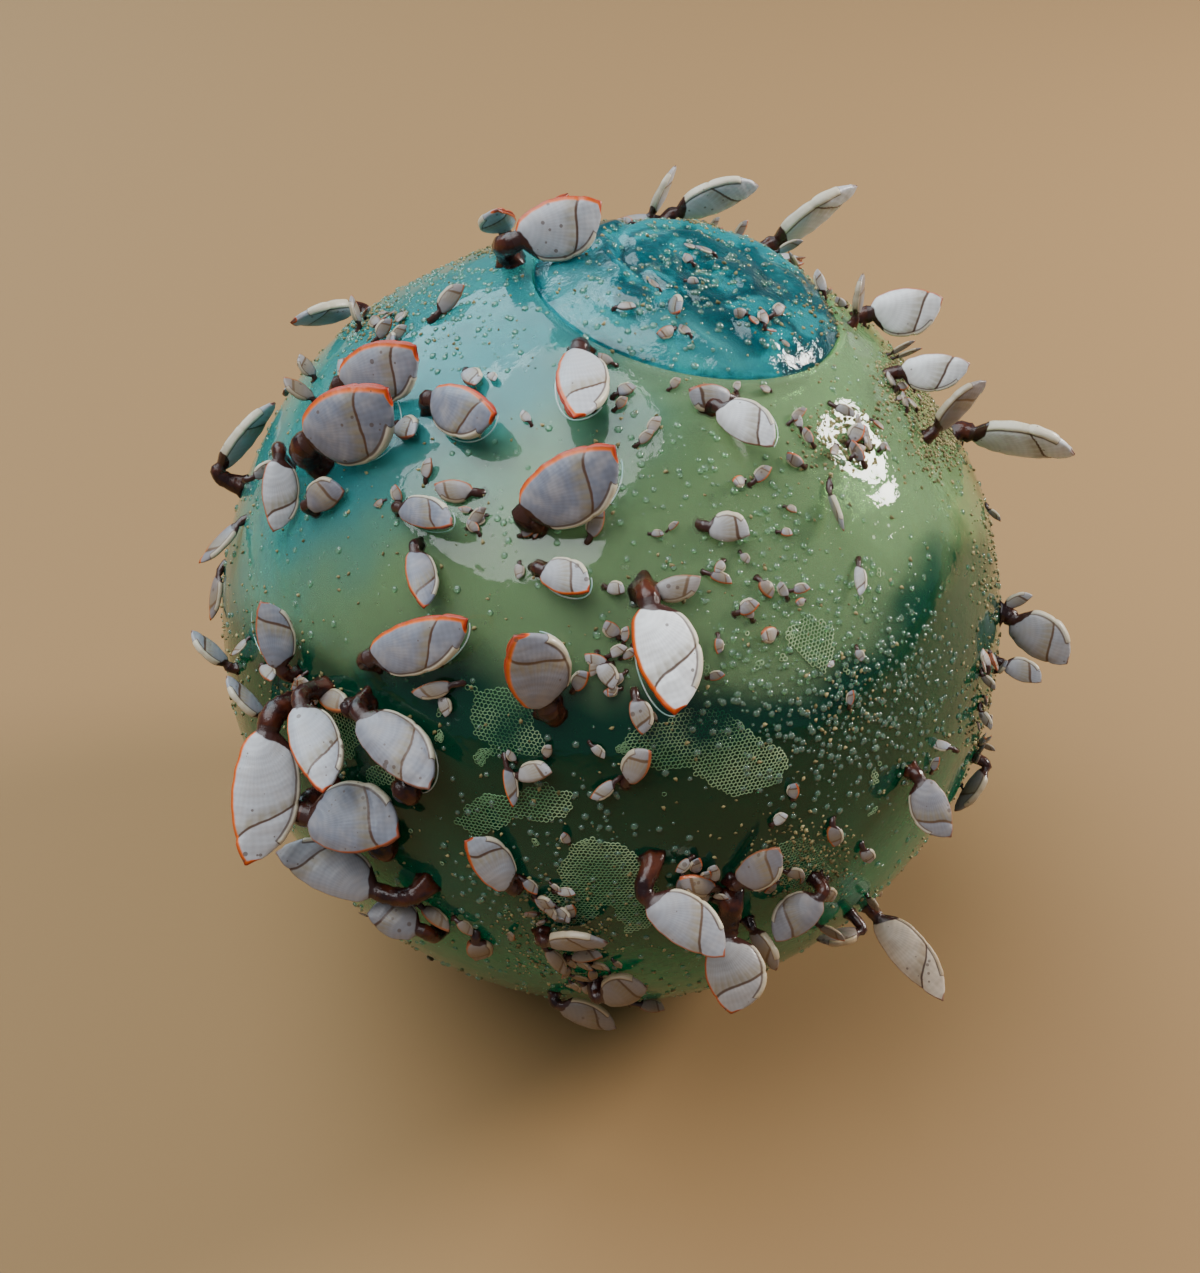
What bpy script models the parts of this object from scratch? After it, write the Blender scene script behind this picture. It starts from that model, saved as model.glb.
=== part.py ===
"""A hand-blown glass fishing float, overgrown with goose barnacles, lying loose.

Three kinds of piece: the ball, the button of glass that seals its blow hole, and the larger barnacles.
The ball is a sealed hollow in life and is solid here. Metres, +Z up, the viewer stands on the -Y side.
The origin is the centre of the small flat spot on which the ball lies.
"""
import math
from typing import NamedTuple, Optional

import bmesh
import bpy
from mathutils import Matrix, Quaternion, Vector

MM = 0.001

# The glass ball
BALL_DIAMETER = 127 * MM
FLAT_SPOT_DIAMETER = 28 * MM
SHOULDER_DIP = 0.9 * MM
SHOULDER_ANGLE = math.radians(41)
SHOULDER_SPREAD = math.radians(9)
BALL_SIDES = 44
BALL_BANDS = 17

# The seal button, pressed into a seat at the top of the ball
SEAL_DIAMETER = 45 * MM
SEAL_SEAT_DEPTH = 3.0 * MM
SEAL_PROUD = 2.2 * MM
SEAL_DIMPLE = 0.7 * MM
SEAL_TILT = math.radians(10.4)
SEAL_BANDS = 3
GAP = 0.3 * MM

# How the photograph looks at the ball, for turning its pixels into places on the glass
VIEW_ELEVATION = math.radians(40)
VIEW_DISTANCE_IN_RADII = 3.85
FOCAL_LENGTH_PX = 1448
PHOTO_CENTRE_PX = (600.0, 636.5)
BALL_CENTRE_PX = (610.5, 613.5)

# Proportions that every barnacle shares, as shares of its shell's length or width
THICKNESS_SHARE = 0.42
OPENING_SHARE = 0.38
STALK_SHARE = 0.19
FOOT_FLARE = 1.25
REACH_SHARE = 0.15
RISE_SHARE = 0.12
CLEARANCE = 0.7 * MM
SETTLING_ROUNDS = 5
TIP_RADIUS = 0.3 * MM
BARNACLE_SIDES = 8
SHELL_STATIONS = (0.0, 0.13, 0.36, 0.62, 0.86)

# A shell with this lift stands square to the line of sight instead of at an angle to the glass
SQUARE = None

BALL_RADIUS = BALL_DIAMETER / 2
SEAL_ANGLE = math.asin(SEAL_DIAMETER / 2 / BALL_RADIUS)
BALL_CENTRE = Vector((0, 0, math.sqrt(BALL_RADIUS ** 2 - (FLAT_SPOT_DIAMETER / 2) ** 2)))
SEAL_AXIS = Vector((math.sin(SEAL_TILT), 0, math.cos(SEAL_TILT)))


class Seen(NamedTuple):
    """A barnacle in the photograph. Pixels give its place and direction, and the rest are real sizes."""
    base: tuple             # pixel of the end of the shell that the stalk carries
    tip: tuple              # pixel of the shell's tip, which sets its direction only
    length: float           # of the shell, in millimetres
    width: float            # of the shell, in millimetres
    lift: Optional[float]   # degrees between the shell and the glass, or SQUARE
    turn: float             # degrees about its length; 0 lies flat with the opening edge on its right
    standoff: float = 0             # extra height of the base above the glass, in millimetres
    foot: Optional[tuple] = None    # pixel where the stalk stands, where it isn't under the base


class Unseen(NamedTuple):
    """A barnacle on the far side, placed by angles in degrees. Bearing 0 faces the viewer."""
    bearing: float
    height: float
    heading: float
    length: float
    width: float
    lift: float
    turn: float


SEEN = {
    "crown": [
        Seen((519, 240), (603, 201), 12.5, 8, SQUARE, 180, standoff=1, foot=(512, 262)),
        Seen((652, 212), (676, 164), 8, 4, SQUARE, 80),
        Seen((679, 209), (759, 182), 13, 6.5, SQUARE, 50),
        Seen((778, 240), (858, 184), 14.5, 7.5, SQUARE, 70),
    ],
    "right_shoulder": [
        Seen((856, 315), (863, 275), 6, 3.5, SQUARE, 80),
        Seen((872, 313), (942, 298), 10.5, 6.8, SQUARE, 180),
        Seen((903, 371), (970, 363), 9.5, 5.2, SQUARE, 180),
        Seen((941, 426), (990, 379), 9.5, 5, SQUARE, 60),
        Seen((985, 428), (1087, 449), 15.5, 8, SQUARE, 60),
    ],
    "left_shoulder": [
        Seen((342, 381), (413, 343), 13.3, 8, 4, 180),
        Seen((311, 440), (384, 390), 14.5, 10.3, 2, 180, foot=(322, 462)),
        Seen((430, 396), (491, 409), 13, 6.5, 12, 180),
        Seen((579, 352), (574, 419), 14, 6.5, 14, 0),
        Seen((279, 459), (273, 532), 10, 5, SQUARE, 0, foot=(291, 468)),
        Seen((308, 504), (346, 490), 6, 4.2, -12, 0),
        Seen((221, 466), (276, 401), 13, 6.5, SQUARE, 70),
    ],
    "face": [
        Seen((400, 508), (450, 524), 10, 4.1, 12, 0),
        Seen((525, 510), (615, 443), 14.5, 8.6, 20, 180, foot=(534, 520)),
        Seen((414, 551), (423, 607), 8.5, 3.9, 14, 0),
        Seen((542, 570), (588, 591), 7, 4.5, 14, 0),
        Seen((720, 408), (774, 446), 9, 5, 14, 0),
        Seen((374, 657), (468, 619), 16, 6.7, 3, 180),
        Seen((545, 703), (514, 635), 11.5, 8, 30, 180),
        Seen((509, 886), (465, 841), 10, 5, 8, 180),
        Seen((650, 606), (675, 714), 14, 7.8, 14, 0),
    ],
    "left_rim": [
        Seen((281, 667), (260, 601), 9.5, 5, 14, 180),
        Seen((226, 664), (191, 630), 7, 4, SQUARE, 60),
        Seen((262, 716), (226, 675), 7.5, 4, SQUARE, 60),
    ],
    "left_cluster": [
        Seen((268, 731), (246, 864), 18, 8.8, SQUARE, 0, standoff=4),
        Seen((301, 707), (324, 797), 13.5, 6.3, 22, 0, standoff=3),
        Seen((311, 816), (397, 836), 13, 9.5, -18, 0),
        Seen((363, 717), (430, 790), 13.7, 6.8, 6, 0),
        Seen((374, 890), (275, 852), 14.5, 7, SQUARE, 180, standoff=1, foot=(426, 884)),
        Seen((418, 929), (369, 914), 7.5, 5.5, SQUARE, 180, foot=(440, 928)),
    ],
    "foot_cluster": [
        Seen((650, 900), (725, 957), 12, 6.5, SQUARE, 0, standoff=2, foot=(652, 860)),
        Seen((727, 937), (731, 1013), 10.2, 8, SQUARE, 0, standoff=1, foot=(729, 897)),
        Seen((740, 883), (779, 848), 8, 4.6, 8, 180),
        Seen((819, 898), (777, 940), 8.5, 5.3, SQUARE, 180),
        Seen((753, 930), (776, 970), 6.3, 4.2, SQUARE, 60),
        Seen((878, 918), (943, 1001), 15.5, 5.8, SQUARE, 0),
        Seen((858, 932), (815, 940), 6.5, 4, -22, 60),
        Seen((549, 942), (608, 943), 8.8, 5, 6, 70),
        Seen((602, 997), (647, 988), 7, 5.5, -5, 40),
        Seen((561, 1006), (617, 1029), 9, 4.5, SQUARE, 40),
    ],
    "right_rim": [
        Seen((1014, 620), (1068, 664), 10.5, 7, SQUARE, 20),
        Seen((1005, 664), (1041, 682), 6, 3.5, SQUARE, 0),
        Seen((920, 781), (951, 837), 8.7, 5.2, SQUARE, 180),
        Seen((985, 770), (955, 811), 8, 4.2, SQUARE, 60),
    ],
}

UNSEEN = {
    "back": [
        Unseen(150, 42, 200, 14, 8, 30, 0),
        Unseen(176, 24, 120, 12, 7, 25, 180),
        Unseen(201, 40, -60, 15, 8.5, 25, 0),
        Unseen(226, 14, 160, 13, 7.5, 35, 180),
        Unseen(186, -6, 20, 10, 6, 30, 0),
        Unseen(128, 10, -150, 16, 9, 35, 0),
        Unseen(146, -14, 90, 9, 5.5, 30, 180),
        Unseen(240, 42, 100, 11, 6.5, 20, 0),
        Unseen(216, 64, 30, 9, 5.5, 20, 180),
        Unseen(252, -8, -30, 12, 7, 35, 0),
    ],
}


class Stance(NamedTuple):
    """How a shell stands: the way out from the ball's centre to its base, along it, and off its flat side."""
    out: Vector
    along: Vector
    flat: Vector


def clear_scene():
    for old in list(bpy.data.objects):
        bpy.data.objects.remove(old, do_unlink=True)


def collection(name):
    made = bpy.data.collections.new(name)
    bpy.context.scene.collection.children.link(made)
    return made


def material(name, color, roughness, transmission=0.0):
    made = bpy.data.materials.new(name)
    made.use_nodes = True
    shader = made.node_tree.nodes["Principled BSDF"]
    shader.inputs["Base Color"].default_value = (*color, 1)
    shader.inputs["Roughness"].default_value = roughness
    shader.inputs["Metallic"].default_value = 0
    shader.inputs["Transmission Weight"].default_value = transmission
    return made


def add_object(name, mesh, finish, where):
    made = bpy.data.objects.new(name, mesh)
    where.objects.link(made)
    mesh.materials.append(finish)
    mesh.shade_smooth()
    mesh.set_sharp_from_angle(angle=math.radians(50))
    return made


def ball_radius_at(angle):
    """The ball's radius at an angle from the seal's axis, with the soft dip of its shoulder."""
    dip = math.exp(-((angle - SHOULDER_ANGLE) / SHOULDER_SPREAD) ** 2)
    return BALL_RADIUS - SHOULDER_DIP * dip


def seal_radius_at(angle):
    """The seal's top: proud in the middle, dimpled at its centre and rounded down at its edge."""
    share = min(angle / SEAL_ANGLE, 1)
    edge = ball_radius_at(SEAL_ANGLE) - GAP
    dimple = SEAL_DIMPLE * math.exp(-(share / 0.3) ** 2)
    return edge + (SEAL_PROUD + GAP) * (1 - share ** 5) - dimple


def glass_radius(out):
    """How far the glass reaches in a direction from the ball's centre."""
    angle = SEAL_AXIS.angle(out)
    if angle < SEAL_ANGLE:
        return seal_radius_at(angle)
    return ball_radius_at(angle)


def polar(radius, angle):
    """A profile point in the XZ plane, from the radius and the angle off the axis."""
    return (radius * math.sin(angle), 0, radius * math.cos(angle))


def turned(name, profile, finish, where):
    """A profile that starts and ends on the axis, turned about the seal's axis into a closed body."""
    mesh = bpy.data.meshes.new(name)
    mesh.from_pydata(profile, [(i, i + 1) for i in range(len(profile) - 1)], [])
    made = add_object(name, mesh, finish, where)
    made.location = BALL_CENTRE
    made.rotation_euler = (0, SEAL_TILT, 0)
    screw = made.modifiers.new("turn", "SCREW")
    screw.axis = "Z"
    screw.steps = BALL_SIDES
    screw.render_steps = BALL_SIDES
    screw.use_merge_vertices = True
    screw.merge_threshold = 0.05 * MM
    screw.use_smooth_shade = True
    return made


def build_ball(parts, cutters, finish):
    """The ball with the seat for its seal, and a flat spot cut where it lies."""
    seat_radius = ball_radius_at(SEAL_ANGLE) - SEAL_SEAT_DEPTH
    seat = [polar(seat_radius, SEAL_ANGLE * i / SEAL_BANDS) for i in range(SEAL_BANDS + 1)]
    step = (math.pi - SEAL_ANGLE) / BALL_BANDS
    outside = []
    for i in range(BALL_BANDS + 1):
        angle = SEAL_ANGLE + step * i
        outside.append(polar(ball_radius_at(angle), angle))
    ball = turned("float_ball", seat + outside, finish, parts)

    bpy.ops.mesh.primitive_cube_add(size=BALL_DIAMETER, location=(0, 0, -BALL_DIAMETER / 2))
    ground = bpy.context.object
    ground.name = "flat_spot_cutter"
    ground.hide_render = True
    ground.display_type = "WIRE"
    for holder in list(ground.users_collection):
        holder.objects.unlink(ground)
    cutters.objects.link(ground)
    cut = ball.modifiers.new("flat spot", "BOOLEAN")
    cut.operation = "DIFFERENCE"
    cut.object = ground
    return ball


def build_seal(parts, finish):
    """The button that closes the blow hole, clear of its seat all round."""
    side = SEAL_ANGLE - GAP / BALL_RADIUS
    bottom = ball_radius_at(SEAL_ANGLE) - SEAL_SEAT_DEPTH + GAP
    top = []
    for i in range(2 * SEAL_BANDS + 1):
        angle = side * i / (2 * SEAL_BANDS)
        top.append(polar(seal_radius_at(angle), angle))
    under = [polar(bottom, side * i / SEAL_BANDS) for i in range(SEAL_BANDS, -1, -1)]
    return turned("seal_button", top + under, finish, parts)


def view_axes():
    """The photograph's right, its up, and the way from the ball to the viewer."""
    right = Vector((1, 0, 0))
    up = Vector((0, math.sin(VIEW_ELEVATION), math.cos(VIEW_ELEVATION)))
    back = Vector((0, -math.cos(VIEW_ELEVATION), math.sin(VIEW_ELEVATION)))
    return right, up, back


def viewpoint():
    """Where the photograph was taken from, as seen from the ball's centre."""
    right, up, back = view_axes()
    distance = VIEW_DISTANCE_IN_RADII * BALL_RADIUS
    aside = (BALL_CENTRE_PX[0] - PHOTO_CENTRE_PX[0]) / FOCAL_LENGTH_PX * distance
    below = (PHOTO_CENTRE_PX[1] - BALL_CENTRE_PX[1]) / FOCAL_LENGTH_PX * distance
    return back * distance - right * aside - up * below


def sight(pixel):
    """The direction in which the camera sees a pixel of the photograph."""
    right, up, back = view_axes()
    across = (pixel[0] - PHOTO_CENTRE_PX[0]) / FOCAL_LENGTH_PX
    rise = (PHOTO_CENTRE_PX[1] - pixel[1]) / FOCAL_LENGTH_PX
    return (right * across + up * rise - back).normalized()


def outward(pixel, radius):
    """The way out from the ball's centre to what a pixel shows on a ball of this radius."""
    eye = viewpoint()
    ray = sight(pixel)
    nearest = eye.dot(ray)
    inside = nearest ** 2 - eye.length_squared + radius ** 2
    return (eye + ray * (-nearest - math.sqrt(max(inside, 0)))).normalized()


def swell(share, early, fullness):
    """A rounded bulge along the shell, nothing at both ends: early moves its peak towards the base."""
    return math.sin(math.pi * share ** early) ** fullness


def shell_section(share, width):
    """Half sizes at a share of the shell's length: towards the opening, the keel, and the flat side."""
    neck = STALK_SHARE * width * (1 - share) ** 2
    opening = max(OPENING_SHARE * width * swell(share, 0.62, 0.8), neck, TIP_RADIUS)
    keel = max((1 - OPENING_SHARE) * width * swell(share, 0.95, 0.58), neck, TIP_RADIUS)
    half_thickness = max(THICKNESS_SHARE / 2 * width * swell(share, 0.7, 0.8), neck, TIP_RADIUS)
    return opening, keel, half_thickness


def base_height(stance, length, width):
    """How high the shell's base has to stand for the whole shell to clear the glass."""
    across = stance.along.cross(stance.flat)
    slope = stance.along.dot(stance.out)
    needed = [RISE_SHARE * length]
    for share in (*SHELL_STATIONS, 1):
        opening, keel, half_thickness = shell_section(share, width)
        lower_side = keel if across.dot(stance.out) > 0 else opening
        extent = math.hypot(half_thickness * stance.flat.dot(stance.out), lower_side * across.dot(stance.out))
        run = share * length
        falling_away = run ** 2 * (1 - slope ** 2) / (2 * BALL_RADIUS)
        needed.append(extent - run * slope - falling_away)
    return max(needed) + CLEARANCE


def compass(out):
    """North and east on the ball, at the way out."""
    east = Vector((0, 0, 1)).cross(out).normalized()
    return out.cross(east), east


def along_seen(shown, out):
    """The way along a shell that makes it point from its base pixel to its tip pixel."""
    ray = sight(shown.base)
    sheet = ray.cross(sight(shown.tip)).normalized()
    square = sheet.cross(ray).normalized()
    if shown.lift is SQUARE:
        return square
    lift = math.radians(shown.lift)
    north, east = compass(out)
    sideways = Vector((north.dot(sheet), east.dot(sheet)))
    middle = math.atan2(sideways.y, sideways.x)
    cosine = -math.tan(lift) * out.dot(sheet) / sideways.length
    spread = math.acos(max(-1, min(1, cosine)))
    choices = []
    for heading in (middle + spread, middle - spread):
        level = north * math.cos(heading) + east * math.sin(heading)
        choices.append(level * math.cos(lift) + out * math.sin(lift))
    return max(choices, key=square.dot)


def stance_seen(shown):
    """A stance that shows the shell where the photograph has it. Its height and its place settle together."""
    height = RISE_SHARE * shown.length * MM
    ray = sight(shown.base)
    for _ in range(SETTLING_ROUNDS):
        out = outward(shown.base, BALL_RADIUS + height + shown.standoff * MM)
        along = along_seen(shown, out)
        flat = -(ray - along * ray.dot(along)).normalized()
        flat.rotate(Quaternion(along, math.radians(shown.turn)))
        stance = Stance(out, along, flat)
        height = base_height(stance, shown.length * MM, shown.width * MM)
    return stance


def stance_unseen(hidden):
    """A stance from the angles of a barnacle on the far side."""
    bearing = math.radians(hidden.bearing)
    height = math.radians(hidden.height)
    heading = math.radians(hidden.heading)
    lift = math.radians(hidden.lift)
    level = Vector((math.sin(bearing), -math.cos(bearing), 0))
    out = level * math.cos(height) + Vector((0, 0, math.sin(height)))
    north, east = compass(out)
    tangent = north * math.cos(heading) + east * math.sin(heading)
    along = tangent * math.cos(lift) + out * math.sin(lift)
    flat = (out - along * out.dot(along)).normalized()
    flat.rotate(Quaternion(along, math.radians(hidden.turn)))
    return Stance(out, along, flat)


def stalk_curve(start, end, out, along):
    """Control points of the stalk's bend, square to the glass at its foot and in line with the shell."""
    pull = (end - start).length * 0.5
    return start, start + out * pull, end - along * pull, end


def bezier(points, share):
    a, b, c, d = points
    rest = 1 - share
    return a * rest ** 3 + b * 3 * rest ** 2 * share + c * 3 * rest * share ** 2 + d * share ** 3


def bezier_way(points, share):
    a, b, c, d = points
    rest = 1 - share
    return ((b - a) * rest ** 2 + (c - b) * 2 * rest * share + (d - c) * share ** 2).normalized()


def ring(mesh, centre, way, along, flat, opening, keel, half_thickness):
    """A loop of vertices square to a way, wider towards the keel than towards the opening."""
    turn = along.rotation_difference(way)
    thick = turn @ flat
    wide = turn @ along.cross(flat)
    loop = []
    for i in range(BARNACLE_SIDES):
        angle = math.tau * i / BARNACLE_SIDES
        half_width = opening if math.cos(angle) > 0 else keel
        place = centre + wide * half_width * math.cos(angle) + thick * half_thickness * math.sin(angle)
        loop.append(mesh.verts.new(place))
    return loop


def build_barnacle(name, stance, length, width, standoff, foot_out, finish, where):
    """One goose barnacle: a bent stalk that stands on the glass and carries a flattened shell."""
    out, along, flat = stance
    stalk = STALK_SHARE * width
    base = out * (glass_radius(out) + base_height(stance, length, width) + standoff)
    if foot_out is None:
        level = along - out * along.dot(out)
        foot_out = (base - level * REACH_SHARE * length).normalized()
    foot = foot_out * (glass_radius(foot_out) + GAP)
    bend = stalk_curve(foot, base, foot_out, along)

    mesh = bmesh.new()
    flare = stalk * FOOT_FLARE
    loops = [ring(mesh, foot, foot_out, along, flat, flare, flare, flare)]
    loops.append(ring(mesh, bezier(bend, 0.5), bezier_way(bend, 0.5), along, flat, stalk, stalk, stalk))
    for share in SHELL_STATIONS:
        section = shell_section(share, width)
        loops.append(ring(mesh, base + along * share * length, along, along, flat, *section))
    loops.append(ring(mesh, base + along * length, along, along, flat, *[TIP_RADIUS] * 3))
    for low, high in zip(loops, loops[1:]):
        for i in range(BARNACLE_SIDES):
            j = (i + 1) % BARNACLE_SIDES
            mesh.faces.new((low[i], low[j], high[j], high[i]))
    mesh.faces.new(reversed(loops[0]))
    mesh.faces.new(loops[-1])
    bmesh.ops.recalc_face_normals(mesh, faces=mesh.faces)
    mesh.transform(Matrix.Translation(BALL_CENTRE))
    data = bpy.data.meshes.new(name)
    mesh.to_mesh(data)
    mesh.free()
    return add_object(name, data, finish, where)


def build_barnacles(parts, finish):
    for group, members in SEEN.items():
        for number, shown in enumerate(members, 1):
            foot_out = outward(shown.foot, BALL_RADIUS) if shown.foot else None
            sizes = (shown.length * MM, shown.width * MM, shown.standoff * MM)
            build_barnacle(f"barnacle_{group}_{number}", stance_seen(shown), *sizes, foot_out, finish, parts)
    for group, members in UNSEEN.items():
        for number, hidden in enumerate(members, 1):
            sizes = (hidden.length * MM, hidden.width * MM, 0)
            build_barnacle(f"barnacle_{group}_{number}", stance_unseen(hidden), *sizes, None, finish, parts)


def main():
    clear_scene()
    parts = collection("glass_float")
    cutters = collection("cutters")
    build_ball(parts, cutters, material("green_glass", (0.22, 0.42, 0.30), 0.06, 0.9))
    build_seal(parts, material("teal_glass", (0.05, 0.40, 0.42), 0.06, 0.9))
    build_barnacles(parts, material("barnacle_shell", (0.72, 0.70, 0.74), 0.4))


main()
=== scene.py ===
"""The finish of a hand-blown glass fishing float on which goose barnacles have grown.

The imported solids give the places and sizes. Each is replaced by a finely modelled piece of the same form.
Metres, +Z up, the viewer stands on the -Y side. The origin is the centre of the ball's flat spot.
"""
import math
from typing import NamedTuple, Optional

import bmesh
import bpy
import numpy as np
from mathutils import Matrix, Quaternion, Vector, noise


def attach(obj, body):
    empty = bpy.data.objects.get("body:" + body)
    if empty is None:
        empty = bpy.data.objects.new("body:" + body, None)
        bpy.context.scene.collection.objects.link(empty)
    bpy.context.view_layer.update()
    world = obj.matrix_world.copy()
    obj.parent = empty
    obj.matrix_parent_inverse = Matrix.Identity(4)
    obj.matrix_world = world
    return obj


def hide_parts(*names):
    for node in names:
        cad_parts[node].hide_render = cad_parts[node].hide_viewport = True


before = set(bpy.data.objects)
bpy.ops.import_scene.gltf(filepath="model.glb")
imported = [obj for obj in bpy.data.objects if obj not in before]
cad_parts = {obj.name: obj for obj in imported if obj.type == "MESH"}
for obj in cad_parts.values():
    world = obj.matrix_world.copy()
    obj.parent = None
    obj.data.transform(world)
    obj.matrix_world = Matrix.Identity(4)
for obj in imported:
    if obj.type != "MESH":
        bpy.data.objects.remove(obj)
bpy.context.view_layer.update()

MM = 0.001

# Sizes of the glass, as its solids have them
BALL_RADIUS = 63.5 * MM
FLAT_SPOT_RADIUS = 14 * MM
SHOULDER_DIP = 0.9 * MM
SHOULDER_ANGLE = math.radians(41)
SHOULDER_SPREAD = math.radians(9)
SEAL_RADIUS = 22.5 * MM
SEAL_SEAT_DEPTH = 3.0 * MM
SEAL_PROUD = 2.2 * MM
SEAL_DIMPLE = 0.7 * MM
SEAL_DIMPLE_SHARE = 0.3
SEAL_TILT = math.radians(10.4)
GAP = 0.3 * MM
WALL = 4.5 * MM

# Heights between which the glass's colour changes: deep green below, which is painted shade of the shadowed
# floor seen through the glass, and teal above and further down to the left, which is a painted reflection of
# the sky
DEEP_SHADE_GLASS = (87 * MM, 94 * MM)
LOW_GLASS = (40 * MM, 76 * MM)
LOW_TINT = (0.001, 0.60, 0.38, 1)
TEAL_SKY_GLASS = (112 * MM, 132 * MM)
TEAL_SKY_LEAN = 0.6

# Heights between which the shells turn from a warm tone, painted warm light, to a clean one
WARM_LIGHT_BELOW = (38 * MM, 74 * MM)

# Relief that the glass has beyond its solids
GLASS_WAVE = 0.28 * MM
GLASS_WAVE_LENGTH = 17 * MM
GLASS_RIPPLE = 0.05 * MM
GLASS_RIPPLE_LENGTH = 3.2 * MM
WAVES_START = math.radians(4)
INNER_WAVE = 2.2 * GLASS_WAVE
INNER_WAVE_LENGTH = 1.4 * GLASS_WAVE_LENGTH
SEAL_SWIRL = 0.42 * MM
SEAL_RING_SHARE = 0.45
SEAL_RING_DEPTH = 0.35 * MM
SEAL_RING_SPREAD = 0.05

# How the photograph looks at the ball
VIEW_ELEVATION = math.radians(40)
VIEW_DISTANCE_IN_RADII = 3.85
FOCAL_LENGTH_PX = 1448
PHOTO_SIZE_PX = (1200, 1273)
PHOTO_CENTRE_PX = (600.0, 636.5)
BALL_CENTRE_PX = (610.5, 613.5)
SENSOR_WIDTH = 36

# Proportions that every barnacle shares, as shares of its shell's length or width
THICKNESS_SHARE = 0.42
OPENING_SHARE = 0.38
STALK_SHARE = 0.19
FOOT_FLARE = 1.25
REACH_SHARE = 0.15
RISE_SHARE = 0.12
CLEARANCE = 0.7 * MM
SETTLING_ROUNDS = 5
TIP_RADIUS = 0.3 * MM
SHELL_STATIONS = (0.0, 0.13, 0.36, 0.62, 0.86)

# A shell with this lift stands square to the line of sight instead of at an angle to the glass
SQUARE = None

# The shell's outline and thickness: share of its length, and share of its width
OPENING_EDGE = (
    (0, 0.17), (0.07, 0.29), (0.22, 0.37), (0.42, 0.40), (0.62, 0.35), (0.80, 0.235), (0.93, 0.115),
    (1, 0.02),
)
KEEL_EDGE = (
    (0, 0.17), (0.05, 0.30), (0.14, 0.45), (0.3, 0.58), (0.5, 0.62), (0.68, 0.56), (0.82, 0.42), (0.93, 0.22),
    (1, 0.02),
)
HALF_THICKNESS = (
    (0, 0.13), (0.08, 0.17), (0.25, 0.21), (0.45, 0.205), (0.7, 0.15), (0.9, 0.07), (1, 0.02),
)

# Where the suture between the two large plates of a shell meets its two edges, as shares of its length
SUTURE_AT_OPENING = 0.80
SUTURE_AT_KEEL = 0.46
SUTURE_SLANT = 0.87
SUTURE_BOW = 0.85
SUTURE_CURVE = (0.012, 0.010)
SUTURE_SHIFT = 0.035
SUTURE_HALF_WIDTH = 0.2 * MM
SUTURE_DEPTH = 0.15 * MM
TIP_PLATE_STEP = 0.10 * MM
KEEL_STRIP = 0.75 * MM
KEEL_STRIP_SHARE = 0.125
KEEL_STRIP_LEAST = 0.6 * MM
KEEL_STRIP_RISE = 0.16 * MM
KEEL_STRIP_EDGE = 0.2 * MM
KEEL_GROOVE_DEPTH = 0.6 * SUTURE_DEPTH
KEEL_GROOVE_HALF_WIDTH = 0.15 * MM
TYPICAL_WIDTH = 8.5 * MM
DENTS = 0.045 * MM
LIP = 0.42 * MM
LIP_RISE = 0.13 * MM
LIP_HALF_WIDTH = 0.28 * MM
LIP_SCALES = (0.75, 1.4)
CLEFT_DEPTH = 0.45 * MM
CLEFT_HALF_WIDTH = 0.14 * MM
UMBO_SHARE = 0.2
SLEEVE_SHARE = 0.11
GROWTH_RELIEF = 0.03 * MM
GROWTH_PER_MM = 2.6
FULL_RELIEF_WIDTH_MM = 7

# How uneven the shells' outlines are, how sharp their edges, and how points crowd to ends and edges
OUTLINE_UNEVEN = 0.05
SECTION_SHARPNESS = (0.92, 0.26)
END_CROWDING = 0.035
EDGE_CROWDING = 0.36

# The stalk: how deep its foot sits in the glass, how strongly its ends hold their direction, and its skin
FOOT_SINK = 0.2 * MM
BEND_PULL = 0.5
EXTRA_FLARE = 0.25
GRIP_FADE = 6
FOOT_LOBES = (0.12, 0.10)
STALK_WRINKLES = (0.055, 0.02)

# How finely the large barnacles are meshed
RING_STEP = 0.33 * MM
SIDES = 56
STALK_STEP = 0.45 * MM

# Colours of the shells and stalks
PLATE_GREY = (0.165, 0.175, 0.225, 1)
PLATE_BLEACHED = (0.93, 0.92, 0.91, 1)
PLATE_CLOUD = (0.46, 0.40, 0.36, 1)
RIB_OLIVE = (0.27, 0.20, 0.07, 1)
SUTURE_BROWN = (0.085, 0.035, 0.016, 1)
KEEL_CREAM = (0.64, 0.56, 0.40, 1)
KEEL_SHADOW = (0.10, 0.055, 0.03, 1)
LIP_RED = (0.40, 0.025, 0.0005, 1)
LIP_ORANGE = (0.80, 0.15, 0.001, 1)
LIP_FADED = (0.21, 0.065, 0.028, 1)
CLEFT_MAROON = (0.07, 0.010, 0.006, 1)
# Painted warm light on the shells low on the ball
LOW_WARM_LIGHT = (0.60, 0.47, 0.35, 1)
STAIN_BROWN = (0.19, 0.115, 0.05, 1)
SPECK_BROWN = (0.10, 0.06, 0.04, 1)
SLEEVE_BROWN = (0.045, 0.016, 0.012, 1)
STALK_COLOURS = ((0.018, 0.005, 0.005, 1), (0.085, 0.020, 0.008, 1))

# Tints of the glass: teal (a painted sky reflection), olive, and deep green (painted shade), on its outer and
# its inner skin
OUTER_TINTS = ((0.12, 0.80, 0.86, 1), (0.66, 0.95, 0.46, 1), (0.0005, 0.20, 0.10, 1))
INNER_TINTS = ((0.24, 0.88, 0.94, 1), (0.80, 1.0, 0.60, 1), (0.001, 0.28, 0.14, 1))
GLASS_TAKES_UP = (0.02, 0.80, 0.36, 1)
GLASS_DENSITY = 44.0
GLASS_IOR = 1.5
SEAL_FOLDS = ((0.001, 0.20, 0.24, 1), (0.05, 0.78, 0.86, 1))
# A painted highlight on the seal's front
SEAL_HIGHLIGHT = (0.16, 0.88, 0.92, 1)
SEAL_RING_TINT = (0.0, 0.10, 0.13, 1)
SEAL_FRONT = (-0.55, -0.83, 0)

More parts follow.
